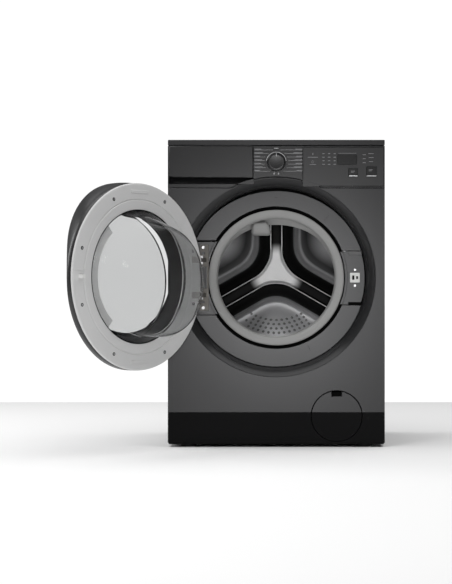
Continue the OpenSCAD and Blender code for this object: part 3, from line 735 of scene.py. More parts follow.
def star_group():
    """Masks of the pressed star from Object coordinates: how dark the polish is, and its rims."""
    tree, inside, outside = new_group(
        "pressed_star",
        [("Axis Height", "NodeSocketFloat", 0.49), ("Blend", "NodeSocketFloat", STAR_BLEND),
         ("Channel", "NodeSocketFloat", CHANNEL_HALF), ("Hub", "NodeSocketFloat", 0.05)],
        [("Aside", "NodeSocketFloat"), ("Rim", "NodeSocketFloat"), ("Hub", "NodeSocketFloat")])
    link = tree.links.new
    place = node(tree, "ShaderNodeTexCoord")
    split = node(tree, "ShaderNodeSeparateXYZ")
    flat = node(tree, "ShaderNodeCombineXYZ")
    level = node(tree, "ShaderNodeMath", operation="SUBTRACT")
    link(place.outputs["Object"], split.inputs[0])
    link(split.outputs["Z"], level.inputs[0])
    link(inside.outputs["Axis Height"], level.inputs[1])
    link(split.outputs["X"], flat.inputs["X"])
    link(level.outputs[0], flat.inputs["Z"])
    least = None
    for k in range(sizes().arm_count):
        a = math.radians(90 + 360 / sizes().arm_count * k)
        arm = (math.cos(a), 0, math.sin(a))
        dot = node(tree, "ShaderNodeVectorMath", operation="DOT_PRODUCT")
        dot.inputs[1].default_value = arm
        ahead = node(tree, "ShaderNodeMath", operation="MAXIMUM")
        ahead.inputs[1].default_value = 0
        back = node(tree, "ShaderNodeVectorMath", operation="SCALE")
        back.inputs[0].default_value = arm
        gap = node(tree, "ShaderNodeVectorMath", operation="DISTANCE")
        link(flat.outputs[0], dot.inputs[0])
        link(dot.outputs["Value"], ahead.inputs[0])
        link(ahead.outputs[0], back.inputs["Scale"])
        link(flat.outputs[0], gap.inputs[0])
        link(back.outputs[0], gap.inputs[1])
        found = gap.outputs["Value"]
        if least is not None:
            both = node(tree, "ShaderNodeMath", operation="SMOOTH_MIN")
            link(least, both.inputs[0])
            link(found, both.inputs[1])
            link(inside.outputs["Blend"], both.inputs[2])
            found = both.outputs[0]
        least = found
    link(least, outside.inputs["Aside"])
    off = node(tree, "ShaderNodeMath", operation="SUBTRACT")
    far = node(tree, "ShaderNodeMath", operation="ABSOLUTE")
    rim = node(tree, "ShaderNodeMapRange", interpolation_type="SMOOTHSTEP")
    rim.inputs["From Min"].default_value = 0.0018
    rim.inputs["From Max"].default_value = 0.0006
    link(least, off.inputs[0])
    link(inside.outputs["Channel"], off.inputs[1])
    link(off.outputs[0], far.inputs[0])
    link(far.outputs[0], rim.inputs["Value"])
    link(rim.outputs["Result"], outside.inputs["Rim"])
    length_of = node(tree, "ShaderNodeVectorMath", operation="LENGTH")
    hub = node(tree, "ShaderNodeMapRange", interpolation_type="SMOOTHSTEP")
    hub.inputs["From Max"].default_value = 0.088
    hub.inputs["To Min"].default_value = 1
    hub.inputs["To Max"].default_value = 0
    within = node(tree, "ShaderNodeMath", operation="LESS_THAN")
    only = node(tree, "ShaderNodeMath", operation="MULTIPLY")
    link(flat.outputs[0], length_of.inputs[0])
    link(length_of.outputs["Value"], hub.inputs["Value"])
    link(inside.outputs["Hub"], hub.inputs["From Min"])
    link(least, within.inputs[0])
    link(inside.outputs["Channel"], within.inputs[1])
    link(hub.outputs["Result"], only.inputs[0])
    link(within.outputs[0], only.inputs[1])
    link(only.outputs[0], outside.inputs["Hub"])
    return tree


def drum_star_painted_light():
    """Stainless of the drum's back: dark polished arms, bright rims and hub, satin pads."""
    material, tree, bsdf = blank_material("drum_star_painted_light")
    link = tree.links.new
    star = node(tree, "ShaderNodeGroup", node_tree=star_group())
    star.inputs["Axis Height"].default_value = DRUM_Z
    span = node(tree, "ShaderNodeMapRange")
    span.inputs["From Max"].default_value = 0.15
    # painted shading by distance from the arms: dark arms as painted reflection, a bright fringe as
    # painted highlight, darker pad middles as painted shade; the second ramp is lighter
    painted_shades = (((0.0, 0.006), (0.335, 0.004), (0.385, 0.55), (0.43, 0.5), (0.5, 0.06), (0.6, 0.05),
               (0.75, 0.3), (0.9, 0.55)),
              ((0.0, 0.006), (0.335, 0.004), (0.385, 0.85), (0.45, 0.85), (0.53, 0.55), (0.7, 0.75),
               (0.85, 0.8)))
    ramps = []
    for stops in painted_shades:
        ramp = node(tree, "ShaderNodeValToRGB")
        for place, shade in stops:
            stop = ramp.color_ramp.elements.new(place)
            stop.color = (shade, shade, shade * 1.02, 1)
        ramp.color_ramp.elements.remove(ramp.color_ramp.elements[0])
        ramp.color_ramp.elements.remove(ramp.color_ramp.elements[-1])
        link(span.outputs["Result"], ramp.inputs["Fac"])
        ramps.append(ramp)
    link(star.outputs["Aside"], span.inputs["Value"])
    place = node(tree, "ShaderNodeTexCoord")
    split = node(tree, "ShaderNodeSeparateXYZ")
    # under the axis the lighter ramp takes over: painted light on pads that face up to the lamp
    lower_pad_painted_light = node(tree, "ShaderNodeMapRange", interpolation_type="SMOOTHSTEP")
    lower_pad_painted_light.inputs["From Min"].default_value = DRUM_Z
    lower_pad_painted_light.inputs["From Max"].default_value = DRUM_Z - 0.06
    pads = node(tree, "ShaderNodeMix", data_type="RGBA")
    link(place.outputs["Object"], split.inputs[0])
    link(split.outputs["Z"], lower_pad_painted_light.inputs["Value"])
    link(lower_pad_painted_light.outputs["Result"], pads.inputs["Factor"])
    link(ramps[0].outputs["Color"], pads.inputs[6])
    link(ramps[1].outputs["Color"], pads.inputs[7])
    colour_now = pads.outputs[2]
    # painted highlights: the rims and the hub are pushed to near white
    for mask, shade in (("Rim", 0.9), ("Hub", 1.0)):
        mix = node(tree, "ShaderNodeMix", data_type="RGBA")
        mix.inputs[7].default_value = (shade, shade, shade, 1)
        link(star.outputs[mask], mix.inputs["Factor"])
        link(colour_now, mix.inputs[6])
        colour_now = mix.outputs[2]
    link(colour_now, bsdf.inputs["Base Color"])
    lines = node(tree, "ShaderNodeGroup", node_tree=brush_group())
    lines.inputs["Stretch"].default_value = (60.0, 900.0, 700.0)
    lines.inputs["Roughness"].default_value = 0.38
    lines.inputs["Spread"].default_value = 0.1
    link(lines.outputs["Roughness"], bsdf.inputs["Roughness"])
    bsdf.inputs["Metallic"].default_value = 0.3
    bsdf.inputs["Specular IOR Level"].default_value = 0.1
    bump_into(tree, lines.outputs["Height"], bsdf, 0.00001, 0.2)
    return material


def build_drum_back():
    """The drum's back plate with its pressed star and dished pads."""
    bm = bmesh.new()
    across, count = 0.484, 220
    bmesh.ops.create_grid(bm, x_segments=count, y_segments=count, size=across / 2)
    outside = [v for v in bm.verts if v.co.xy.length > 0.2385]
    bmesh.ops.delete(bm, geom=outside, context="VERTS")
    for vert in bm.verts:
        x, z = vert.co.x, vert.co.y
        vert.co = (x, DRUM_BACK - 0.008 - star_depth(x, z), DRUM_Z + z)
    finish_piece("drum_star", bm, "drum", drum_star_painted_light(), ("drum_back",), sharp=80)
    bm = bmesh.new()
    pitch = 0.0155
    for row in range(4):
        radius = 0.146 + 0.0125 * row
        count = int(math.radians(32) * radius / pitch)
        for column in range(-count, count + 1):
            a = math.radians(-90) + (column + 0.5 * (row % 2)) * pitch / radius
            x, z = radius * math.cos(a), radius * math.sin(a)
            made = bmesh.ops.create_uvsphere(bm, u_segments=12, v_segments=8, radius=0.0048)
            place = (Matrix.Translation((x, DRUM_BACK - 0.0072 - star_depth(x, z), DRUM_Z + z))
                     @ Matrix.Diagonal((1, 0.3, 1, 1)))
            bmesh.ops.transform(bm, matrix=place, verts=made["verts"])
    # a darker copy of the stainless on the dimples: painted shade in the pressed hollows
    finish_piece("drum_dimples", bm, "drum", brushed("dimple_painted_shade_steel", (0.2, 0.2, 0.2), 0.4),
                 sharp=60)


# ---------- control panel ----------

def build_control_panel():
    """The fascia with its openings for the drawer and the display."""
    s = sizes()
    y = FRONT - 0.001
    lip = s.ring + 0.0052
    bottom, top = PANEL_BOTTOM + 0.0008, TOP_UNDER - 0.0006
    half_arc = math.degrees(math.asin((bottom - PORT_Z) / lip))
    outer = ([(HALF_W, bottom), (HALF_W, top), (-HALF_W, top), (-HALF_W, bottom)]
             + arc(0, PORT_Z, lip, 180 - half_arc, half_arc, 60))
    drawer = rounded(DRAWER_LOW.x - 0.0008, DRAWER_LOW.z - 0.017, DRAWER_HIGH.x + 0.0008,
                     DRAWER_HIGH.z + 0.0008, 0.002)
    display = rounded(DISPLAY_LOW.x - 0.0004, DISPLAY_LOW.z - 0.0004, DISPLAY_HIGH.x + 0.0004,
                      DISPLAY_HIGH.z + 0.0004, 0.0015)
    bm = plate_mesh([outer, drawer, display], y, y + 0.02, 0.001)
    finish_piece("panel_fascia", bm, "cabinet", panel_plastic(),
                 ("control_panel",))


def build_drawer_front():
    """The drawer's front with its leaning lower lip, and the scoop under it."""
    y = DRAWER_LOW.y
    x0, x1, z0, z1 = DRAWER_LOW.x, DRAWER_HIGH.x, DRAWER_LOW.z, DRAWER_HIGH.z
    outline = ([(x1, z1), (x0, z1), (x0, z0 + 0.004)]
               + [(x0 + 0.012 + (x1 - x0 - 0.012) * t, z0 + 0.0015 - 0.0015 * t) for t in
                  (0, 0.5, 1)])
    plate("drawer_face", [outline], y, y + 0.006, "drawer", panel_plastic(),
          ("drawer_front",), 0.0016)
    bm = bmesh.new()
    verts = [bm.verts.new((x0, FRONT - 0.001 + depth, z0 - drop)) for depth, drop in (
        (0.0015, 0.0175), (0.004, 0.0168), (0.010, 0.012), (0.0145, 0.005), (0.016, -0.006))]
    edges = [bm.edges.new(pair) for pair in zip(verts, verts[1:])]
    made = bmesh.ops.extrude_edge_only(bm, edges=edges)
    moved = [item for item in made["geom"] if isinstance(item, bmesh.types.BMVert)]
    bmesh.ops.translate(bm, verts=moved, vec=(x1 - x0, 0, 0))
    finish_piece("drawer_scoop", bm, "cabinet", panel_plastic(), sharp=60)


def build_programme_panel():
    """Leader lines either side of the knob, printed as thin raised ink."""
    y = FRONT - 0.0013
    bm = bmesh.new()
    labels = bmesh.new()
    radius = (KNOB_HIGH.x - KNOB_LOW.x) / 2 + 0.004
    for row in range(7):
        z = 0.8215 - 0.0098 * row
        near = math.sqrt(max(radius ** 2 - (z - KNOB_Z) ** 2, 0.006 ** 2)) + 0.003
        reach = (0.019, 0.024, 0.016, 0.021, 0.018, 0.023, 0.015)[row]
        for side, end in ((-1, 0.0605), (1, 0.0715)):
            for target, inner, rise, thick in ((bm, near, 0, 0.0006),
                                               (labels, end - reach, 0.0018, 0.0014)):
                xs = sorted((side * inner, side * end))
                soft_box(target, (xs[0], y, z + rise), (xs[1], y + 0.0006, z + rise + thick),
                         0.0002, 1)
    finish_piece("programme_labels", labels, "cabinet", dim_ink())
    for dx in (-0.006, 0.006):
        soft_box(bm, (dx - 0.0015, y, KNOB_Z - 0.034), (dx + 0.0015, y + 0.0006, KNOB_Z - 0.029),
                 0.0002, 1)
    soft_box(bm, (-0.006, y, 0.8255), (0.006, y + 0.0006, 0.8272), 0.0002, 1)
    finish_piece("programme_lines", bm, "cabinet", print_ink())


def build_knob():
    """The programme knob, its pointer and the light arc above it."""
    s_radius = (KNOB_HIGH.x - KNOB_LOW.x) / 2
    y0, y1 = KNOB_LOW.y, FRONT - 0.0014
    profile = [(0, y0 + 0.0008), (s_radius * 0.7, y0 + 0.0003), (s_radius - 0.003, y0),
               (s_radius - 0.0012, y0 + 0.0008), (s_radius - 0.0004, y0 + 0.0024),
               (s_radius, y1 - 0.001), (s_radius, y1), (0, y1)]
    bm = bmesh.new()
    spin_profile(bm, profile, (0, KNOB_Z), 96, closed=False)
    finish_piece("knob_cap", bm, "knob", panel_plastic(), ("programme_knob",))
    # light arc only over the knob's upper half: painted highlight where light falls from above
    bm = bmesh.new()
    outer = arc(0, KNOB_Z, s_radius + 0.0022, 8, 172, 40)
    inner = arc(0, KNOB_Z, s_radius + 0.0008, 172, 8, 40)
    join(bm, plate_mesh([outer + inner], FRONT - 0.0022, FRONT - 0.001, 0.0003))
    finish_piece("knob_painted_highlight", bm, "cabinet",
                 grained("halo_painted_highlight", (0.75, 0.75, 0.76), 0.35))
    bm = bmesh.new()
    soft_box(bm, (-0.0006, y0 - 0.0002, KNOB_Z + s_radius * 0.55),
             (0.0006, y0 + 0.0008, KNOB_Z + s_radius * 0.95), 0.0002, 1)
    finish_piece("knob_pointer", bm, "knob", print_ink())


def build_display():
    """The gloss panel, its sunk screen, its icons and the two buttons."""
    y = DISPLAY_LOW.y
    low, high = DISPLAY_LOW, DISPLAY_HIGH
    keys = [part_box("button_start"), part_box("button_option")]
    holes = [rounded(a.x - 0.0004, a.z - 0.0004, b.x + 0.0004, b.z + 0.0004, 0.001)
             for a, b in keys]
    screen = rounded(0.169, 0.7805, 0.223, 0.8085, 0.0015)
    lip = sizes().ring + 0.0056
    start = math.degrees(math.acos(low.x / lip))
    end = math.degrees(math.asin((low.z - PORT_Z) / lip))
    outline = (arc(0, PORT_Z, lip, start, end, 10)
               + arc(high.x - 0.0015, low.z + 0.0015, 0.0015, 270, 360, 4)
               + arc(high.x - 0.0015, high.z - 0.0015, 0.0015, 0, 90, 4)
               + arc(low.x + 0.0015, high.z - 0.0015, 0.0015, 90, 180, 4))
    plate("display_glass", [outline, screen, *holes],
          y, y + 0.003, "cabinet", panel_gloss(), ("display_window",), 0.0005)
    plate("display_screen", [rounded(0.1692, 0.7807, 0.2228, 0.8083, 0.0012)], y + 0.0006,
          y + 0.002, "cabinet", gloss_black(), (), 0.0002)
    for (a, b), name, body in zip(keys, ("start_key", "option_key"),
                                  ("start_button", "option_button")):
        plate(name, [rounded(a.x, a.z + 0.0006, b.x, b.z, 0.0012)], a.y, a.y + 0.005, body,
              gloss_black(),
              ("button_start",) if name == "start_key" else ("button_option",), 0.0006)
        bm = bmesh.new()
        soft_box(bm, (a.x + 0.0004, a.y - 0.0002, a.z + 0.0008),
                 (b.x - 0.0004, a.y + 0.001, a.z + 0.0032), 0.0003, 2)
        finish_piece(name + "_bar", bm, body, stainless())
        bm = bmesh.new()
        for k in range(2):
            soft_box(bm, (a.x + 0.006, a.y - 0.0002, b.z - 0.009 - 0.003 * k),
                     (a.x + 0.017 - 0.003 * k, a.y + 0.0004, b.z - 0.008 - 0.003 * k), 0.0001, 1)
        finish_piece(name + "_mark", bm, body, dim_ink())
    bm = bmesh.new()
    ink = y - 0.0002

    def dash(x, z, w, h=0.0013):
        soft_box(bm, (x - w / 2, ink, z - h / 2), (x + w / 2, y + 0.0003, z + h / 2), 0.0002, 1)

    dash(0.101, 0.8015, 0.028)
    dash(0.101, 0.8105, 0.0016, 0.006)
    dash(0.101, 0.7815, 0.018, 0.001)
    for k in range(16):
        a, b = math.tau * k / 16, math.tau * (k + 1) / 16
        dash(0.101 + 0.0032 * math.cos((a + b) / 2), 0.7885 + 0.0032 * math.sin((a + b) / 2),
             0.0009, 0.0009)
    for column in range(3):
        for row in range(4):
            dash(0.1305 + 0.0155 * column, 0.8115 - 0.0098 * row, 0.0058 + 0.0012 * (row % 2),
                 0.0014)
    for row in range(3):
        dash(0.262, 0.8115 - 0.011 * row, 0.0155 - 0.002 * row, 0.0011)
        dash(0.243, 0.8085 - 0.011 * row, 0.0085, 0.0011)
    dash(0.196, 0.8125, 0.05, 0.0007)
    finish_piece("display_icons", bm, "cabinet", dim_ink())


def panel_gloss():
    return grained("panel_gloss", (0.02, 0.02, 0.021), 0.27, 400.0, 0.000002, spread=0.02,
                   specular=0.4)


def dim_ink():
    return grained("dim_ink", (0.3, 0.3, 0.31), 0.5, 500.0, 0.000003)


# ---------- plinth, worktop, cabinet ----------

def build_plinth():
    """The plinth and the round filter flap in two tones."""
    bottom = 0.012
    side = math.sqrt(FLAP_OPENING ** 2 - (PLINTH_TOP - FLAP_Z) ** 2)
    right = math.degrees(math.atan2(PLINTH_TOP - FLAP_Z, side))
    outer = ([(-HALF_W, PLINTH_TOP - 0.0006), (-HALF_W, bottom + 0.004), (-HALF_W + 0.004, bottom),
              (HALF_W - 0.004, bottom), (HALF_W, bottom + 0.004), (HALF_W, PLINTH_TOP - 0.0006)]
             + arc(FLAP_X, FLAP_Z, FLAP_OPENING, right, -180 - right, 100))
    plate("plinth_front", [outer], FRONT + 0.0006, FRONT + 0.004, "cabinet", plinth_plastic(),
          (), 0.0009)
    coat_nodes(plinth_plastic(), "plinth")
    radius = FLAP_HIGH.x - FLAP_X
    notch_half, notch_low = 0.0142, 0.055
    top = math.degrees(math.atan2(math.sqrt(radius ** 2 - notch_half ** 2), notch_half))
    split = math.degrees(math.asin((PLINTH_TOP - FLAP_Z) / radius))
    upper = (arc(FLAP_X, FLAP_Z, radius, split, top, 24)
             + [(FLAP_X + notch_half, FLAP_Z + notch_low),
                (FLAP_X - notch_half, FLAP_Z + notch_low)]
             + arc(FLAP_X, FLAP_Z, radius, 180 - top, 180 - split, 24))
    plate("flap_upper", [upper], FRONT, FRONT + 0.003, "flap", graphite_paint(),
          ("filter_flap",), 0.0008)
    lower = arc(FLAP_X, FLAP_Z, radius, 180 - split, 360 + split, 90)
    plate("flap_lower", [lower], FRONT + 0.0002, FRONT + 0.003, "flap", plinth_plastic(),
          (), 0.0008)
    # near-black box behind the flap's notch: painted shade in the grip hollow
    bm = bmesh.new()
    soft_box(bm, (FLAP_X - 0.0125, FRONT + 0.0012, FLAP_Z + 0.0545),
             (FLAP_X + 0.0125, FRONT + 0.0028, FLAP_Z + 0.0665), 0.0015)
    finish_piece("flap_grip_painted_shade", bm, "flap", gap_and_painted_shade())


def build_worktop():
    """The worktop slab with soft edges."""
    low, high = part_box("worktop")
    bm = bmesh.new()
    soft_box(bm, (low.x, low.y, low.z + 0.0006), high, 0.0025, 5)
    finish_piece("worktop_slab", bm, "cabinet", graphite_paint(), ("worktop",))


def build_sides():
    """The two side sheets with softened front edges and a shallow pressed field."""
    for name, sign in (("side_panel_left", -1), ("side_panel_right", 1)):
        low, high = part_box(name)
        bm = bmesh.new()
        x = high.x if sign > 0 else low.x
        depth = [x - sign * SHEET, x]
        soft_box(bm, (min(depth), FRONT + 0.0032, low.z), (max(depth), high.y, high.z), 0.0005, 2)
        faces = [f for f in bm.faces if abs(f.normal.x - sign) < 0.01 and f.calc_area() > 0.1]
        bmesh.ops.inset_region(bm, faces=faces, thickness=0.06, use_even_offset=True)
        bmesh.ops.inset_region(bm, faces=faces, thickness=0.012, depth=-0.0011,
                               use_even_offset=True)
        finish_piece(name + "_sheet", bm, "cabinet", graphite_paint(), (name,))


# ---------- the door ----------

def tilted_ring(radius, rise, depth, slope, low=0.0, count=SPAN):
    """A circle in a plane that leans back with height, on the closed door."""
    points = []
    for i in range(count):
        a = math.tau * i / count
        x, z = radius * math.cos(a), rise + radius * math.sin(a)
        points.append((x, FRAME_Y - depth - slope * z - low * max(-math.sin(a), 0), PORT_Z + z))
    return points


def build_door_shell():
    """The door's outer shell, its liner, the opening's line and the retainer."""
    s = sizes()
    slope, deep = s.face_slope, s.face_depth
    wall = s.rim_wall
    stages = [(s.rim - 0.004, 0, 0.004, 0), (s.rim - 0.0006, 0, 0.0042, 0), (s.rim, 0, 0.0052, 0),
              (s.rim, 0, wall - 0.002, 0, 0.012),
              (s.rim - 0.0008, 0.0003, wall, slope * 0.03, 0.012)]
    for t in (0.15, 0.35, 0.55, 0.75, 0.9):
        radius = s.rim + (s.face + 0.001 - s.rim) * t
        bulge = 0.002 * math.sin(math.pi * t)
        stages.append((radius + bulge, s.face_rise * t, wall + (deep - wall - 0.002) * t, slope * t,
                       0.012 * (1 - t)))
    stages += [(s.face, s.face_rise, deep - 0.0012, slope),
               (s.face - 0.002, s.face_rise, deep - 0.0002, slope),
               (s.face - 0.004, s.face_rise, deep, slope)]
    for t in (0.3, 0.65, 1.0):
        radius = s.face - 0.004 + (s.pane + 0.004 - s.face) * t
        stages.append((radius, s.face_rise + (0.008 - s.face_rise) * t, deep, slope))
    stages += [(s.pane + 0.0006, 0.008, deep - 0.0004, slope),
               (s.pane + 0.0003, 0.008, deep - 0.002, slope),
               (s.pane + 0.0003, 0.008, deep - 0.006, slope)]
    bm = bmesh.new()
    loft(bm, [tilted_ring(*stage) for stage in stages])
    hole = Vector((0, PORT_Z + 0.008))
    caps = [face for face in bm.faces
            if (face.calc_center_median().xz - hole).length < s.pane - 0.004]
    bmesh.ops.delete(bm, geom=caps, context="FACES_ONLY")
    shell = finish_piece("door_shell", bm, "door", door_graphite(),
                         ("door_outer_shell",), sharp=50, transform=swing())
    bm = bmesh.new()
    spin_profile(bm, [(s.pane + 0.0008, FRAME_Y - 0.046), (0.19, FRAME_Y - 0.012),
                      (0.1915, FRAME_Y - 0.012), (s.pane + 0.0028, FRAME_Y - 0.047)])
    finish_piece("door_liner", bm, "door", dark_liner(), transform=swing())
    bm = bmesh.new()
    spin_profile(bm, [(0.1752, FRAME_Y - 0.0026), (0.1772, FRAME_Y - 0.0026),
                      (0.1772, FRAME_Y - 0.0008), (0.1752, FRAME_Y - 0.0008)])
    finish_piece("door_opening_line", bm, "door", gap_and_painted_shade(), transform=swing())
    # a light plastic arc behind the glass on the free side: a painted reflection highlight in the
    # bowl
    sector = (arc(0, PORT_Z, 0.1728, -51, 51, 40) + arc(0, PORT_Z, 0.146, 51, -51, 36))
    plate("door_painted_reflection", [sector], FRAME_Y - 0.0105, FRAME_Y - 0.0085, "door", light_plastic(),
          transform=swing())
    return shell


def dark_liner():
    return grained("dark_liner", (0.02, 0.02, 0.021), 0.5, 900.0, 0.00001, specular=0.3)


def door_graphite():
    return grained("door_graphite", colours().graphite, 0.34, 1400.0, 0.000004, 0.3, spread=0.04)


def build_door_pane():
    """The clear cover in the door's front face."""
    s = sizes()
    deep, slope = s.face_depth, s.face_slope
    bm = bmesh.new()
    stages = [(0.02, 0.008, deep - 0.0046, slope), (s.pane - 0.001, 0.008, deep - 0.0046, slope),
              (s.pane, 0.008, deep - 0.0036, slope), (s.pane, 0.008, deep - 0.001, slope),
              (s.pane - 0.001, 0.008, deep - 0.0002, slope), (0.02, 0.008, deep - 0.0002, slope)]
    rings = [tilted_ring(*stage) for stage in stages]
    loft(bm, rings)
    ends = [e for e in bm.edges if e.is_boundary]
    bmesh.ops.holes_fill(bm, edges=ends, sides=0)
    cover = clear_glass("clear_cover", (0.74, 0.744, 0.744))
    finish_piece("door_pane", bm, "door", cover, ("door_window_cover",),
                 transform=swing())


def build_door_frame():
    """The light inner frame: a stepped ring with grips, arm slots, screws and a seam."""
    s = sizes()
    y, hole, rim = FRAME_Y, s.frame_hole, s.rim
    profile = [(hole + 0.0015, y - 0.012), (hole, y - 0.004), (hole + 0.0004, y - 0.0012),
               (hole + 0.0016, y - 0.0004), (0.2, y - 0.0004), (0.2015, y - 0.0006),
               (0.2028, y - 0.0016), (0.2042, y - 0.0016), (0.2052, y - 0.0004),
               (0.2064, y), (rim - 0.005, y), (rim - 0.0022, y - 0.0006),
               (rim - 0.0006, y - 0.0022), (rim - 0.0002, y - 0.004), (rim - 0.004, y - 0.004),
               (rim - 0.006, y - 0.012)]
    bm = bmesh.new()
    spin_profile(bm, profile, (0, PORT_Z), 216)
    for sign in (-1, 1):
        soft_box(bm, (-0.033, y - 0.002, PORT_Z + sign * 0.224 - 0.0045),
                 (0.033, y + 0.0013, PORT_Z + sign * 0.224 + 0.0045), 0.0012)
    soft_box(bm, (0.199, y - 0.002, PORT_Z + 0.0155), (0.236, y + 0.0006, PORT_Z + 0.0165), 0.0004)
    finish_piece("door_frame_ring", bm, "door", light_plastic(),
                 ("door_inner_frame",), sharp=18, transform=swing())
    bm = bmesh.new()
    dark = bmesh.new()
    for degrees in (19.0, 64.4):
        for sx in (-1, 1):
            for sz in (-1, 1):
                a = math.radians(degrees)
                x, z = sx * 0.223 * math.cos(a), PORT_Z + sz * 0.223 * math.sin(a)
                spin_profile(dark, [(0.0024, y + 0.0003), (0.0046, y + 0.0003), (0.0046, y - 0.001),
                                    (0.0024, y - 0.001)], (x, z), 24)
                rod(bm, (x, z), 0.0024, y + 0.0001, y - 0.002, 20, 0.0003)
    finish_piece("frame_screw_heads", bm, "door", stainless(), transform=swing())
    finish_piece("frame_screw_rims", dark, "door", gap_and_painted_shade(), transform=swing())
    bm = bmesh.new()
    for dz in (-0.049, 0.049):
        x0, x1, h = -0.2405, -0.2025, 0.0105
        join(bm, plate_mesh([rounded(x0, PORT_Z + dz - h, x1, PORT_Z + dz + h, 0.001),
                             rounded(x0 + 0.0014, PORT_Z + dz - h + 0.0014, x1 - 0.0014,
                                     PORT_Z + dz + h - 0.0014, 0.0006)],
                            y - 0.001, y + 0.0008, 0.0003))
    finish_piece("arm_slot_rims", bm, "door", white_plastic(), transform=swing())
    bm = bmesh.new()
    for dz in (-0.049, 0.049):
        soft_box(bm, (-0.2395, y - 0.001, PORT_Z + dz - 0.0095),
                 (-0.2035, y + 0.0003, PORT_Z + dz + 0.0095), 0.0004)
    finish_piece("arm_slot_shade", bm, "door", grained("slot_grey", (0.42, 0.41, 0.4), 0.5),
                 transform=swing())


def bowl_ring(radius, depth, shift_x, shift_z, count=SPAN):
    """One ring of the bowl, depth in front of the door's inner face."""
    points = []
    for i in range(count):
        a = math.tau * i / count
        points.append((shift_x + radius * math.cos(a), FRAME_Y + depth,
                       PORT_Z + shift_z + radius * math.sin(a)))
    return points


def build_bowl():
    """The glass bowl, leaning towards the hinge and down, with a rounded end."""
    stages = [(0.188, -0.006, 0, 0), (0.188, -0.0035, 0, 0), (0.1755, -0.003, 0, 0),
              (0.1735, 0.0, 0, 0), (0.1705, 0.005, 0, 0), (0.164, 0.012, 0, 0),
              (0.1578, 0.02, -0.0005, -0.0005), (0.1555, 0.035, -0.003, -0.003),
              (0.151, 0.055, -0.006, -0.007), (0.1465, 0.074, -0.009, -0.011),
              (0.142, 0.086, -0.011, -0.013), (0.136, 0.0935, -0.012, -0.0145),
              (0.128, 0.0975, -0.0125, -0.015), (0.118, 0.0995, -0.013, -0.0155),
              (0.112, 0.1, -0.0132, -0.0158), (0.108, 0.1, -0.0133, -0.0159)]
    bm = bmesh.new()
    loft(bm, [bowl_ring(*stage) for stage in stages])
    ends = [e for e in bm.edges if e.is_boundary and (e.verts[0].co.y > FRAME_Y + 0.09)]
    bmesh.ops.holes_fill(bm, edges=ends, sides=0)
    bowl = finish_piece("bowl_glass_shell", bm, "door", clear_glass("bowl_glass"),
                        ("door_bowl",), sharp=22, transform=swing())
    thick = bowl.modifiers.new("wall", "SOLIDIFY")
    thick.thickness = 0.0025
    thick.offset = -1.0


def build_latch():
    """The latch hook's finish."""
    coat_nodes(white_plastic(), "latch_hook")


# ---------- the rest of the CAD nodes ----------

def coat_inner_nodes():
    """The finishes of the parts that keep their CAD shape."""
    coat_nodes(graphite_paint(), "rear_panel", "service_cover")
    coat_nodes(plinth_plastic(), "base_tray", "drain_pump", "filter_housing", "filter_plug",
               "damper_cylinders")
    coat_nodes(white_plastic(), "dispenser_housing", "inlet_valve", "door_lock", "drawer_tray",
               "drum_lifters", "tub_front", "tub_rear")
    coat_nodes(black_rubber(), "inlet_hose", "drain_hoses", "drive_belt", "foot_front_left",
               "foot_front_right", "foot_rear_left", "foot_rear_right")
    coat_nodes(stainless(), "drum_shell", "heater", "gasket_clamp", "door_screws",
               "cabinet_screws")
    coat_nodes(zinc(), "top_braces", "suspension_springs", "damper_rods", "drum_bearings",
               "drum_shaft", "motor_pulley")
    coat_nodes(brushed("cast_aluminium", (0.6, 0.6, 0.61), 0.5), "drum_spider", "drum_pulley")
    coat_nodes(grained("cast_iron", (0.08, 0.08, 0.08), 0.75, 300.0, 0.0002), "upper_weight",
               "front_weight")
    coat_nodes(grained("board_green", (0.03, 0.13, 0.06), 0.35), "control_board")
    coat_nodes(grained("motor_paint", (0.05, 0.05, 0.055), 0.4), "motor")
    coat_nodes(grained("siphon_blue", (0.08, 0.2, 0.5), 0.3), "siphon_caps")


# ---------- stage ----------

def lay_floor(low, high, shade):
    """A plain matt floor between two corners."""
    bm = bmesh.new()
    made = bmesh.ops.create_grid(bm, x_segments=1, y_segments=1, size=0.5)
    place = Matrix.Translation(((low[0] + high[0]) / 2, (low[1] + high[1]) / 2, low[2]))
    size = Matrix.Diagonal((high[0] - low[0], high[1] - low[1], 1, 1))
    bmesh.ops.transform(bm, matrix=place @ size, verts=made["verts"])
    mesh = bpy.data.meshes.new("floor")
    bm.to_mesh(mesh)
    bm.free()
    piece = bpy.data.objects.new("floor", mesh)
    bpy.context.scene.collection.objects.link(piece)
    mesh.materials.append(grained("floor_matt", shade, 0.9, 40.0, 0.0, tint=0.0))


def area_light(name, place, aim, size, power):
    """A rectangular light at a place, aimed at a point."""
    data = bpy.data.lights.new(name, "AREA")
    data.shape = "RECTANGLE"
    data.size, data.size_y = size
    data.energy = power
    lamp = bpy.data.objects.new(name, data)
    lamp.location = place
    lamp.rotation_euler = (Vector(aim) - Vector(place)).to_track_quat("-Z", "Y").to_euler()
    bpy.context.scene.collection.objects.link(lamp)
    return lamp


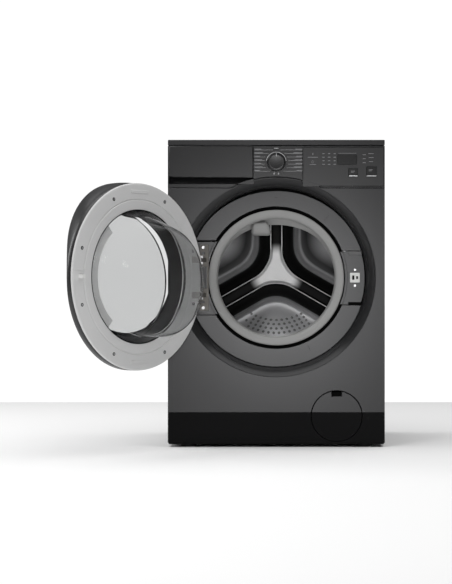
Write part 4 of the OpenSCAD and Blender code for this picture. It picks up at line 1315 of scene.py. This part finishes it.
def build_stage():
    """The floor, the sky, the four lights and the camera."""
    scene = bpy.context.scene
    lay_floor((-2.6, -3.4, 0), (2.6, 1.8, 0), (0.96, 0.96, 0.96))
    world = bpy.data.worlds.new("studio")
    scene.world = world
    world.use_nodes = True
    tree = world.node_tree
    sky = tree.nodes["Background"]
    sky.inputs["Color"].default_value = (1, 1, 1, 1)
    strength = node(tree, "ShaderNodeMapRange")
    strength.inputs["To Min"].default_value = 0.12
    strength.inputs["To Max"].default_value = 1.05
    ray = node(tree, "ShaderNodeLightPath")
    seen = node(tree, "ShaderNodeMath", operation="MAXIMUM")
    tree.links.new(ray.outputs["Is Camera Ray"], seen.inputs[0])
    tree.links.new(ray.outputs["Is Transmission Ray"], seen.inputs[1])
    tree.links.new(seen.outputs[0], strength.inputs["Value"])
    tree.links.new(strength.outputs["Result"], sky.inputs["Strength"])
    area_light("overhead", (0, -0.6, 4.2), (0, -0.6, 0), (7.0, 7.0), 245)
    area_light("key", (-1.6, -3.4, 2.2), (0.1, -0.3, 0.4), (1.0, 0.8), 24)
    area_light("front", (0.02, -5.9, 0.46), (0.0, -0.3, 0.4), (0.5, 0.5), 27)
    area_light("side", (-3.2, 0.4, 1.5), (-0.4, -0.5, 0.5), (1.2, 1.6), 36)
    data = bpy.data.cameras.new("camera")
    data.sensor_width = 36
    data.lens = 113.42
    data.shift_x = -50.3 / 584
    data.clip_end = 100
    camera = bpy.data.objects.new("camera", data)
    camera.location = (0, FRONT - 5.088, 0.429)
    camera.rotation_euler = (math.radians(90), 0, 0)
    scene.collection.objects.link(camera)
    scene.camera = camera
    scene.view_settings.view_transform = "Standard"


# ---------- operators ----------

def operator(idname, label, text, work):
    """Makes one Operator class that runs work."""
    def execute(self, context):
        work()
        return {"FINISHED"}
    name = "WASHER_OT_" + idname
    return type(name, (bpy.types.Operator,), {
        "bl_idname": "washer." + idname, "bl_label": label, "__doc__": text, "execute": execute,
        "bl_options": {"REGISTER", "UNDO"}})


STEPS = [
    ("stage", "Stage", "Lays the floor and sets the lights and camera", build_stage),
    ("inner", "Inner finishes", "Gives the carried-over parts their finishes", coat_inner_nodes),
    ("front_panel", "Front panel", "Builds the front sheet and its ring", build_front_panel),
    ("recess", "Recess", "Builds the recess floor, pockets and groove", build_recess),
    ("lock_face", "Lock face", "Builds the lock's socket and screws", build_lock_face),
    ("hinge", "Hinge", "Builds the hinge plate", build_hinge),
    ("gasket", "Gasket", "Builds the rubber bellows", build_gasket),
    ("drum_back", "Drum back", "Builds the drum's pressed star", build_drum_back),
    ("control_panel", "Control panel", "Builds the fascia", build_control_panel),
    ("drawer_front", "Drawer front", "Builds the drawer's face and scoop", build_drawer_front),
    ("programme", "Programme lines", "Prints the lines beside the knob", build_programme_panel),
    ("knob", "Knob", "Builds the programme knob and its halo", build_knob),
    ("display", "Display", "Builds the display, icons and keys", build_display),
    ("plinth", "Plinth and flap", "Builds the plinth and the filter flap", build_plinth),
    ("worktop", "Worktop", "Builds the worktop", build_worktop),
    ("sides", "Sides", "Builds the side sheets", build_sides),
    ("door_shell", "Door shell", "Builds the door's outer shell and liner", build_door_shell),
    ("door_pane", "Door pane", "Builds the clear cover", build_door_pane),
    ("door_frame", "Door frame", "Builds the light inner frame", build_door_frame),
    ("bowl", "Bowl", "Builds the glass bowl", build_bowl),
    ("latch", "Latch", "Finishes the latch hook", build_latch),
]
OPERATORS = [operator(*step) for step in STEPS]


class WASHER_PT_panel(bpy.types.Panel):
    """Lists the steps that build the washing machine"""
    bl_label = "Washer"
    bl_idname = "WASHER_PT_panel"
    bl_space_type = "VIEW_3D"
    bl_region_type = "UI"
    bl_category = "Washer"

    def draw(self, context):
        for group in (context.scene.washer_sizes, context.scene.washer_colours):
            for key in group.bl_rna.properties.keys():
                if key not in ("rna_type", "name"):
                    self.layout.prop(group, key)
        for step in STEPS:
            self.layout.operator("washer." + step[0])


CLASSES = [WasherSizes, WasherColours, *OPERATORS, WASHER_PT_panel]


def register():
    for cls in CLASSES:
        bpy.utils.register_class(cls)
    bpy.types.Scene.washer_sizes = PointerProperty(type=WasherSizes)
    bpy.types.Scene.washer_colours = PointerProperty(type=WasherColours)


def unregister():
    del bpy.types.Scene.washer_colours
    del bpy.types.Scene.washer_sizes
    for cls in reversed(CLASSES):
        bpy.utils.unregister_class(cls)


def main():
    """Registers the add-on, runs every step and writes the two boxes."""
    register()
    for step in STEPS:
        getattr(bpy.ops.washer, step[0])()


if __name__ == "__main__":
    main()
